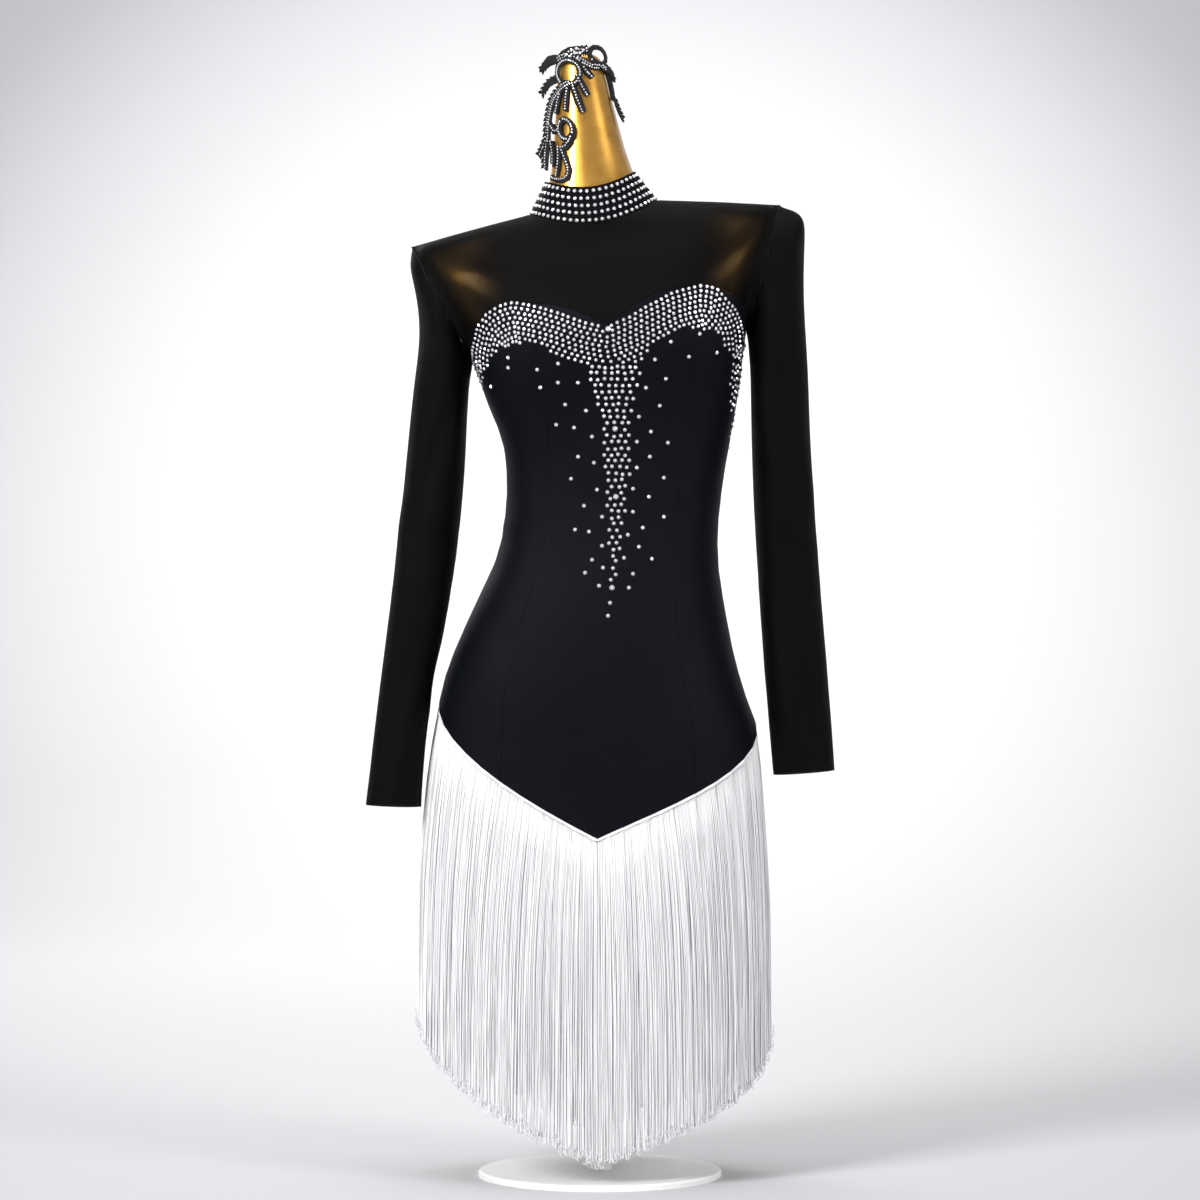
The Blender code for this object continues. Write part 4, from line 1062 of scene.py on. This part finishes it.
def putColumn(spots, dice):
    # rows down the middle, each shifted a little against the last
    sizes = columnSizes
    jitter = sizes["jitter"]
    down = [-p[0] for p in column]
    z, row = sizes["from"], 0
    while z > sizes["to"]:
        low = float(np.interp(-z, down, [p[1] for p in column]))
        high = float(np.interp(-z, down, [p[2] for p in column]))
        gap = stoneSizes["pitch"] * sizes["gap"][0 if z > sizes["dense"] else 1]
        count = max(1, round((high - low) / gap + sizes["extra"]))
        shift = sizes["offset"] * (1 if row % 2 else -1)
        for i in range(count):
            x = (low + high) / 2 + (i - (count - 1) / 2 + shift) * gap
            x += dice.uniform(-jitter, jitter)
            putStone(spots, x, z + dice.uniform(-jitter, jitter), sizes["stone"])
        z -= gap * sizes["rowStep"]
        row += 1


def frontStones():
    dice = random.Random(12)
    spots = []
    putOnGrid(spots, largeStones, 1.35)
    putBand(spots, dice)
    putColumn(spots, dice)
    putOnGrid(spots, looseStones, 1.0)
    return spots


# stones that thin out down each side seam, below the armhole
trailSizes = {
    "stone": 0.82, "from": -0.004, "rowStep": 0.0075, "jitter": 0.001, "stagger": 0.003, "shorter": 0.13,
    "thin": 1.6, "gaps": (0.95, 1.25), "outside": 0.4, "least": 0.07,
}
sideTrails = [
    {"side": 1, "top": 0.850, "length": 0.115, "rows": 6, "seed": 5},
    {"side": -1, "top": 0.836, "length": 0.035, "rows": 5, "seed": 6},
]


def sideTrail(side, top, length, rows, seed):
    sizes = trailSizes
    dice = random.Random(seed)
    spots = []
    for row in range(rows):
        z = top - sizes["stagger"] * (row % 2)
        while z > top - length * (1 - sizes["shorter"] * row):
            if dice.random() > ((top - z) / length) ** sizes["thin"]:
                y = sizes["from"] - sizes["rowStep"] * row + dice.uniform(-sizes["jitter"], sizes["jitter"])
                origin = Vector((side * sizes["outside"], y, z))
                hits = [skins[node].ray_cast(origin, Vector((-side, 0, 0))) for node in bodice]
                hits = [hit for hit in hits if hit[0] and hit[0].x * side > sizes["least"]]
                if hits:
                    hit, normal, _, _ = min(hits, key=lambda found: found[3])
                    spots.append((hit, normal if normal.x * side > 0 else -normal, sizes["stone"]))
            z -= stoneSizes["pitch"] * dice.uniform(*sizes["gaps"])
    return spots


frontSpots = frontStones()
sideSpots = [spot for trail in sideTrails for spot in sideTrail(**trail)]
addStones("bodiceStones", frontSpots, 4)
addStones("sideStones", sideSpots, 5)
print("bodice stones", len(frontSpots), len(sideSpots))


# collar stones: five rings, all round to the zip
collarSizes = {
    "rows": (0.09, 0.29, 0.49, 0.69, 0.89), "pitch": 0.0066, "zipClear": 0.0058, "stone": 0.92,
    "lean": (-0.113, 0, 0.994), "samples": 628, "turnStep": 0.01, "apart": 0.8, "zipNear": 0.02,
}


def collarLoops():
    # the collar's lower and upper edge, each as its centre, angles round the neck, and points
    spots = [p for edge in rims["collar"] for p in edge]
    middle = sum(spots, Vector()) / len(spots)
    loops = []
    for upper in (False, True):
        part = [p for p in spots if ((p - middle).dot(Vector(collarSizes["lean"])) > 0) == upper]
        centre = sum(part, Vector()) / len(part)
        turns = sorted(((math.atan2(p.x - centre.x, centre.y - p.y), p) for p in part), key=lambda t: t[0])
        loops.append((centre, [t for t, p in turns], [p for t, p in turns]))
    return loops


def onLoop(loop, turn):
    _, turns, points = loop
    turn = (turn + math.pi) % (2 * math.pi) - math.pi
    wide = [turns[-1] - 2 * math.pi] + turns + [turns[0] + 2 * math.pi]
    rows = [points[-1]] + points + [points[0]]
    return Vector([float(np.interp(turn, wide, [p[k] for p in rows])) for k in range(3)])


def zipLine(z):
    # where the middle of the zip's chain lies at a height
    chain, near = nodes["zip_chain"].data.vertices, collarSizes["zipNear"]
    return float(np.mean([v.co.x for v in chain if abs(v.co.z - z) < near]))


def collarStones():
    sizes = collarSizes
    spots = []
    for share in sizes["rows"]:
        turns = [i * sizes["turnStep"] for i in range(sizes["samples"] + 1)]
        ring = [onLoop(lowEdge, t).lerp(onLoop(highEdge, t), share) for t in turns]
        total = sum((a - b).length for a, b in zip(ring, ring[1:]))
        count = round(total / sizes["pitch"])
        far, step, k = 0.0, total / count, 0
        for a, b in zip(ring, ring[1:]):
            far += (a - b).length
            if far < step * (k + 0.5) or k >= count:
                continue
            k += 1
            hit, normal, _, _ = skins["collar"].find_nearest(a)
            normal = normal if normal.dot(Vector((a.x - lowEdge[0].x, a.y, 0))) > 0 else -normal
            # none over the opening, where the nearest cloth is the edge beside the zip
            clear = hit.y < 0 or abs(hit.x - zipLine(hit.z)) > sizes["zipClear"]
            if clear and all((hit - spot[0]).length > sizes["apart"] * sizes["pitch"] for spot in spots):
                spots.append((hit, normal, sizes["stone"]))
    return spots


lowEdge, highEdge = collarLoops()
collarSpots = collarStones()
addStones("collarStones", collarSpots, 6)
print("collar stones", len(collarSpots))


# neck lace: corded fronds with stones down them, a net edging under them, and small leaves at their sides
# drawn flat in millimetres: u runs round the neck and w up from the collar
laceFronds = [
    [(-11, 97), (-24, 91), (-35, 81), (-41, 67), (-44, 54), (-45, 42)],
    [(-5, 122), (4, 116), (14, 112), (27, 112), (37, 104), (39, 90), (38, 78)],
    [(-24, 119), (-14, 123), (-4, 125), (10, 128)],
    [(-20, 94), (-27, 82), (-32, 68)],
    [(-14, 95), (-17, 83), (-19, 70)],
    [(-9, 97), (-6, 84), (-1, 69)],
    [(-4, 104), (0, 94), (5, 84)],
    [(2, 114), (6, 107), (12, 101)],
    [(-41, 62), (-35, 52), (-26, 54)],
    [(-14, 47), (-19, 39), (-27, 35)],
    [(-45, 46), (-50, 37), (-57, 28)],
    [(-44, 43), (-48, 30), (-49, 16)],
    [(-40, 43), (-38, 30), (-39, 19)],
    [(-27, 36), (-22, 24), (-20, 13), (-26, 6), (-36, 6), (-43, 9)],
    [(-30, 37), (-31, 23), (-35, 9)],
    [(-19, 119), (-35, 118), (-49, 109)],
    [(-23, 101), (-37, 98), (-48, 88)],
    [(24, 111), (38, 110), (45, 98)],
    [(38, 82), (43, 69), (50, 57)],
]
# rings of stones: middle u and w, half width, half height
laceRings = [(-13, 106, 12.6, 11.6), (22, 123, 12.0, 8.6), (-20, 53, 7.6, 9.4)]
# frond numbers: doubled have two rows of stones that far apart, leafed have leaves on those sides
laceSizes = {
    "lowRadius": 41.0, "topRadius": 24.7, "slope": 112.0, "top": (-0.0206, 0, 1.139),
    "straightPast": {-1: 0.7, 1: 1.0}, "out": 0.003, "inset": 0.0046, "reach": 0.006, "nearForm": 0.004,
    "sample": 0.5, "pitch": 2.4, "firstGap": 0.7, "stoned": 15, "bandEnds": 30, "lookUp": 0.12,
    "doubled": {0: 1.3, 1: 1.2, 13: 0.0, 2: 1.4},
    "stones": {"cluster": 0.8, "frond": 0.48, "ring": 0.52}, "apart": 0.0044,
    "cluster": [(-9, 121), (-4, 124), (1, 124), (-7, 127), (-2, 128), (-13, 123), (-2, 119), (5, 127)],
    "net": 3.3, "netEnds": 3, "scallop": 0.22, "scallops": 2.2, "netLayers": (0.0010, 0.0014),
    "netLift": 0.0004,
    "leafed": {
        0: (-1,), 2: (1,), 10: (-1, 1), 11: (-1,), 12: (1,), 15: (-1, 1), 16: (-1, 1), 17: (-1, 1), 18: (1,),
    },
    "leafFrom": 1.5, "leafPitch": 4.6, "leafLayers": (0.0016, 0.0027),
    "leaf": [(-2.2, 0), (-0.9, 2.4), (3.1, 3.9), (2.6, 1.6), (2.4, 0)],
}


def onNeck(u, w, out=laceSizes["out"]):
    # a place on the neck, and the way out of it; past an angle the lace runs on straight, off the neck
    sizes = laceSizes
    side = 1 if u > 0 else -1
    radius = sizes["lowRadius"] + (sizes["topRadius"] - sizes["lowRadius"]) * w / sizes["slope"]
    turn = min(abs(u) / radius, sizes["straightPast"][side])
    past = (abs(u) - turn * radius) * 0.001
    outWay = Vector((side * math.sin(turn), -math.cos(turn), 0))
    over = Vector((side * math.cos(turn), math.sin(turn), 0))
    low = onLoop(highEdge, side * turn)
    top = Vector(sizes["top"]) + outWay * (sizes["topRadius"] * 0.001)
    out -= sizes["inset"] * max(0, 1 - w / sizes["slope"])
    return low.lerp(top, w / sizes["slope"]) + over * past + outWay * out, outWay


def offForm(spot, gap):
    # lifts what lies on the form's neck clear of it
    hit, normal, _, far = formTree.find_nearest(spot)
    return hit + normal * gap if far < laceSizes["nearForm"] else spot


def onSpline(p, q, r, s, t):
    # from q to r as t goes from 0 to 1, heading along p to r and q to s at its ends
    return 0.5 * (2 * q + (r - p) * t + (2 * p - 5 * q + 4 * r - s) * t**2 + (3 * q - p - 3 * r + s) * t**3)


def smoothLine(points):
    # points on a smooth line through the given ones, a sample apart
    rows = [points[0]] + list(points) + [points[-1]]
    line = []
    for a, b, c, d in zip(rows, rows[1:], rows[2:], rows[3:]):
        steps = max(2, int(math.dist(b, c) / laceSizes["sample"]))
        for i in range(steps):
            line.append(tuple(onSpline(p, q, r, s, i / steps) for p, q, r, s in zip(a, b, c, d)))
    return line + [points[-1]]


def direction(a, b):
    return Vector((b[0] - a[0], b[1] - a[1])).normalized()


def laceStoneSpots(tree):
    sizes = laceSizes
    spots = []

    def place(u, w, size):
        spot, out = onNeck(u, w)
        hit, _, _, far = tree.find_nearest(spot)
        if far > sizes["reach"] or any((hit - other[0]).length <= sizes["apart"] * size for other in spots):
            return
        spots.append((hit, (out + Vector((0, 0, sizes["lookUp"]))).normalized(), size))

    for u, w in sizes["cluster"]:
        place(u, w, sizes["stones"]["cluster"])
    for index, points in enumerate(laceFronds[:sizes["stoned"]]):
        line = smoothLine(points)
        apart = sizes["doubled"].get(index, 0.0)
        for side in (-1, 1) if apart else (0,):
            far = sizes["pitch"] * sizes["firstGap"]
            for a, b in zip(line, line[1:]):
                far += math.dist(a, b)
                if far >= sizes["pitch"] and b[0] < sizes["bandEnds"]:
                    far = 0
                    run = direction(a, b)
                    u, w = b[0] - run.y * side * apart, b[1] + run.x * side * apart
                    place(u, w, sizes["stones"]["frond"])
    for u, w, wide, high in laceRings:
        count = round(math.pi * (wide + high) / sizes["pitch"])
        for i in range(count):
            turn = 2 * math.pi * i / count
            place(u + wide * math.cos(turn), w + high * math.sin(turn), sizes["stones"]["ring"])
    return spots


def netEdging(points):
    # a thin scalloped strip under one frond, as points and faces
    sizes = laceSizes
    line = smoothLine(points)[::2]
    total, far, rows = sum(math.dist(a, b) for a, b in zip(line, line[1:])), 0.0, []
    for a, b in zip(line, line[1:]):
        far += math.dist(a, b)
        run = direction(a, b)
        taper = min(1, (far + 1) / sizes["netEnds"], (total - far + 1) / sizes["netEnds"])
        half = sizes["net"] * (1 + sizes["scallop"] * math.sin(far * sizes["scallops"])) * taper
        edges = [(b[0] - run.y * half * side, b[1] + run.x * half * side) for side in (-1, 1)]
        rows.append([offForm(onNeck(u, w, out)[0], out - sizes["netLift"])
                     for out in sizes["netLayers"] for u, w in edges])
    faces = []
    for low in range(0, 4 * (len(rows) - 1), 4):
        for i, j in ((0, 1), (1, 3), (3, 2), (2, 0)):
            faces.append([low + i, low + j, low + 4 + j, low + 4 + i])
    last = 4 * (len(rows) - 1)
    faces += [[0, 2, 3, 1], [last, last + 1, last + 3, last + 2]]
    return [spot for row in rows for spot in row], faces


def leavesAlong(points, side):
    # five-cornered leaves along one side of a frond, each as points and faces
    sizes = laceSizes
    line = smoothLine(points)
    leaves, far = [], sizes["leafFrom"]
    for k in range(3, len(line) - 2):
        far += math.dist(line[k], line[k - 1])
        if far < sizes["leafPitch"]:
            continue
        far = 0.0
        run = direction(line[k - 1], line[k + 1])
        cross = Vector((-run.y, run.x)) * side
        root = Vector(line[k]) + cross
        outline = [root + run * along + cross * aside for along, aside in sizes["leaf"]]
        verts = [onNeck(p.x, p.y, out)[0] for out in sizes["leafLayers"] for p in outline]
        faces = [[4, 3, 2, 1, 0], [5, 6, 7, 8, 9]]
        faces += [[i, (i + 1) % 5, (i + 1) % 5 + 5, i + 5] for i in range(5)]
        leaves.append((verts, faces))
    return leaves


def joined(parts):
    # several sets of points and faces as one
    verts, faces = [], []
    for points, sides in parts:
        faces += [[len(verts) + i for i in side] for side in sides]
        verts += points
    return verts, faces


def addLace():
    piece = copyOf("laceSpray", "neck_lace")
    apply(piece, "BEVEL", width=0.00035, segments=2, limit_method="ANGLE", angle_limit=math.radians(50))
    smoothed(piece, 45)
    settle(piece, "lace")
    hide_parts("neck_lace")
    parts = [netEdging(points) for points in laceFronds[:laceSizes["stoned"]]]
    for index, sides in laceSizes["leafed"].items():
        for side in sides:
            parts += leavesAlong(laceFronds[index], side)
    leaves = pieceOf("laceLeaves", *joined(parts))
    inEditMode(leaves, (bpy.ops.mesh.normals_make_consistent, {"inside": False}))
    settle(leaves, "lace")
    spots = laceStoneSpots(treeOf(piece))
    addStones("laceStones", spots, 7)
    print("lace stones", len(spots))


addLace()


# zip: the coil's teeth down the chain, and the tape behind the opening, from the collar to below the chain
zipSizes = {
    "pitch": 0.0016, "tooth": (0.0036, 0.0011, 0.0008), "stagger": 0.0004, "ends": 0.002,
    "tapeTop": 1.034, "tapePast": 0.07, "tapeHalf": 0.011, "tapeUnder": 0.0021, "tapeThick": 0.0004,
    "tapeRow": 0.008, "tapeColumns": (-1, -0.45, 0.45, 1), "near": 0.02, "edgeWithin": 0.05, "behind": 0.4,
}


def zipTapeMiddle(z, chain):
    # midway between the two backs' edges, or where these end, on the chain
    near, within = zipSizes["near"], zipSizes["edgeWithin"]
    sides = []
    for node, pick in (("bodice_back_left", max), ("bodice_back_right", min)):
        edge = [p.x for edge in rims[node] for p in edge if abs(p.z - z) < near and abs(p.x) < within]
        sides.append(pick(edge) if edge else None)
    return sum(sides) / 2 if None not in sides else float(chain[np.abs(chain[:, 2] - z) < near][:, 0].mean())


def addZipTape():
    sizes = zipSizes
    chain = np.array([v.co[:] for v in nodes["zip_chain"].data.vertices])
    backs = ["bodice_back_left", "bodice_back_right", "yoke_back_left", "yoke_back_right", "collar"]
    rows, z = [], sizes["tapeTop"]
    while z > chain[:, 2].min() - sizes["tapePast"]:
        x = zipTapeMiddle(z, chain)
        row = []
        for step in sizes["tapeColumns"]:
            start = Vector((x + math.copysign(sizes["tapeHalf"], step), sizes["behind"], z))
            hit = firstHit(backs, start, Vector((0, -1, 0)))
            row.append(hit and Vector((x + step * sizes["tapeHalf"], hit[0].y - sizes["tapeUnder"], z)))
        if all(row):
            rows.append(row)
        z -= sizes["tapeRow"]
    across = len(sizes["tapeColumns"])
    starts = [across * k + a for k in range(len(rows) - 1) for a in range(across - 1)]
    faces = [[i, i + across, i + across + 1, i + 1] for i in starts]
    piece = pieceOf("zipTape", [spot for row in rows for spot in row], faces)
    apply(piece, "SOLIDIFY", thickness=sizes["tapeThick"], offset=0.0)
    smoothed(piece)
    settle(piece, "tapeBlack")


def addTeeth():
    sizes = zipSizes
    places = np.array([v.co[:] for v in nodes["zip_chain"].data.vertices])
    order = places[places[:, 2].argsort()]
    tree = treeOf(nodes["zip_chain"])
    bpy.ops.mesh.primitive_cube_add(size=1)
    block = bpy.context.active_object
    corners = [Vector([c * size for c, size in zip(v.co, sizes["tooth"])]) for v in block.data.vertices]
    sides = [list(f.vertices) for f in block.data.polygons]
    bpy.data.objects.remove(block)
    teeth, row = [], 0
    z = order[0, 2] + sizes["ends"]
    while z < order[-1, 2] - sizes["ends"]:
        near = order[np.abs(order[:, 2] - z) < sizes["near"]]
        x = float(near[:, 0].mean()) + sizes["stagger"] * (1 if row % 2 else -1)
        hit, normal, _, _ = tree.ray_cast(Vector((x, sizes["behind"], z)), Vector((0, -1, 0)))
        if hit:
            turn = (normal if normal.y > 0 else -normal).to_track_quat("Y", "Z").to_matrix()
            teeth.append(([hit + turn @ corner for corner in corners], sides))
        z += sizes["pitch"]
        row += 1
    settle(pieceOf("zipTeeth", *joined(teeth)), "nylon")
    print("zip teeth", len(teeth))


addZipTape()
addTeeth()


# studio: a round white room whose floor curves up into its wall, and five soft lights
stageSizes = {"flat": 3.2, "curve": 3.0, "high": 5.5, "bends": 12, "turns": 96}
lights = {
    "keySoftbox": {"place": (-2.3, -2.6, 2.4), "aim": (0, 0, 0.7), "size": (1.2, 1.6), "power": 150},
    "fillSoftbox": {"place": (2.6, -2.2, 1.6), "aim": (0, 0, 0.7), "size": (1.2, 1.6), "power": 58},
    "topSoftbox": {"place": (0, 0.2, 3.6), "aim": (0, 0, 0.5), "size": (2.6, 2.6), "power": 58},
    "backSoftbox": {"place": (-1.6, 2.8, 2.2), "aim": (0, 0, 0.7), "size": (1.2, 1.4), "power": 25},
    "wallWash": {"place": (0, 3.6, 3.8), "aim": (0, 6.2, 0.6), "size": (3.0, 1.0), "power": 82},
}
airLight = {"colour": (0.92, 0.92, 0.94, 1), "strength": 0.3}


def addStage():
    flat, curve = stageSizes["flat"], stageSizes["curve"]
    profile = [(0, 0), (flat / 2, 0), (flat, 0)]
    for i in range(1, stageSizes["bends"] + 1):
        turn = math.pi / 2 * i / stageSizes["bends"]
        profile.append((flat + curve * math.sin(turn), curve * (1 - math.cos(turn))))
    profile.append((flat + curve, stageSizes["high"]))
    edges = [(i, i + 1) for i in range(len(profile) - 1)]
    piece = pieceOf("cyclorama", [(r, 0, z) for r, z in profile], [], edges)
    spin = {"steps": stageSizes["turns"], "angle": 2 * math.pi, "center": (0, 0, 0), "axis": (0, 0, 1)}
    inEditMode(piece, (bpy.ops.mesh.spin, spin), (bpy.ops.mesh.remove_doubles, {"threshold": 0.0001}),
               (bpy.ops.mesh.normals_make_consistent, {"inside": False}))
    bpy.ops.object.shade_smooth()
    piece.data.materials.append(finishes["paper"])


def addLight(name, place, aim, size, power):
    turn = (Vector(aim) - Vector(place)).to_track_quat("-Z", "Y").to_euler()
    bpy.ops.object.light_add(type="AREA", location=place, rotation=turn)
    light = bpy.context.active_object
    light.name = name
    light.data.shape = "RECTANGLE"
    light.data.size, light.data.size_y = size
    light.data.energy = power


addStage()
for name, light in lights.items():
    addLight(name, **light)
world = bpy.data.worlds.new("studioWorld")
world.use_nodes = True
world.node_tree.nodes["Background"].inputs["Color"].default_value = airLight["colour"]
world.node_tree.nodes["Background"].inputs["Strength"].default_value = airLight["strength"]
scene.world = world
scene.view_settings.view_transform = "Standard"
print("studio set")
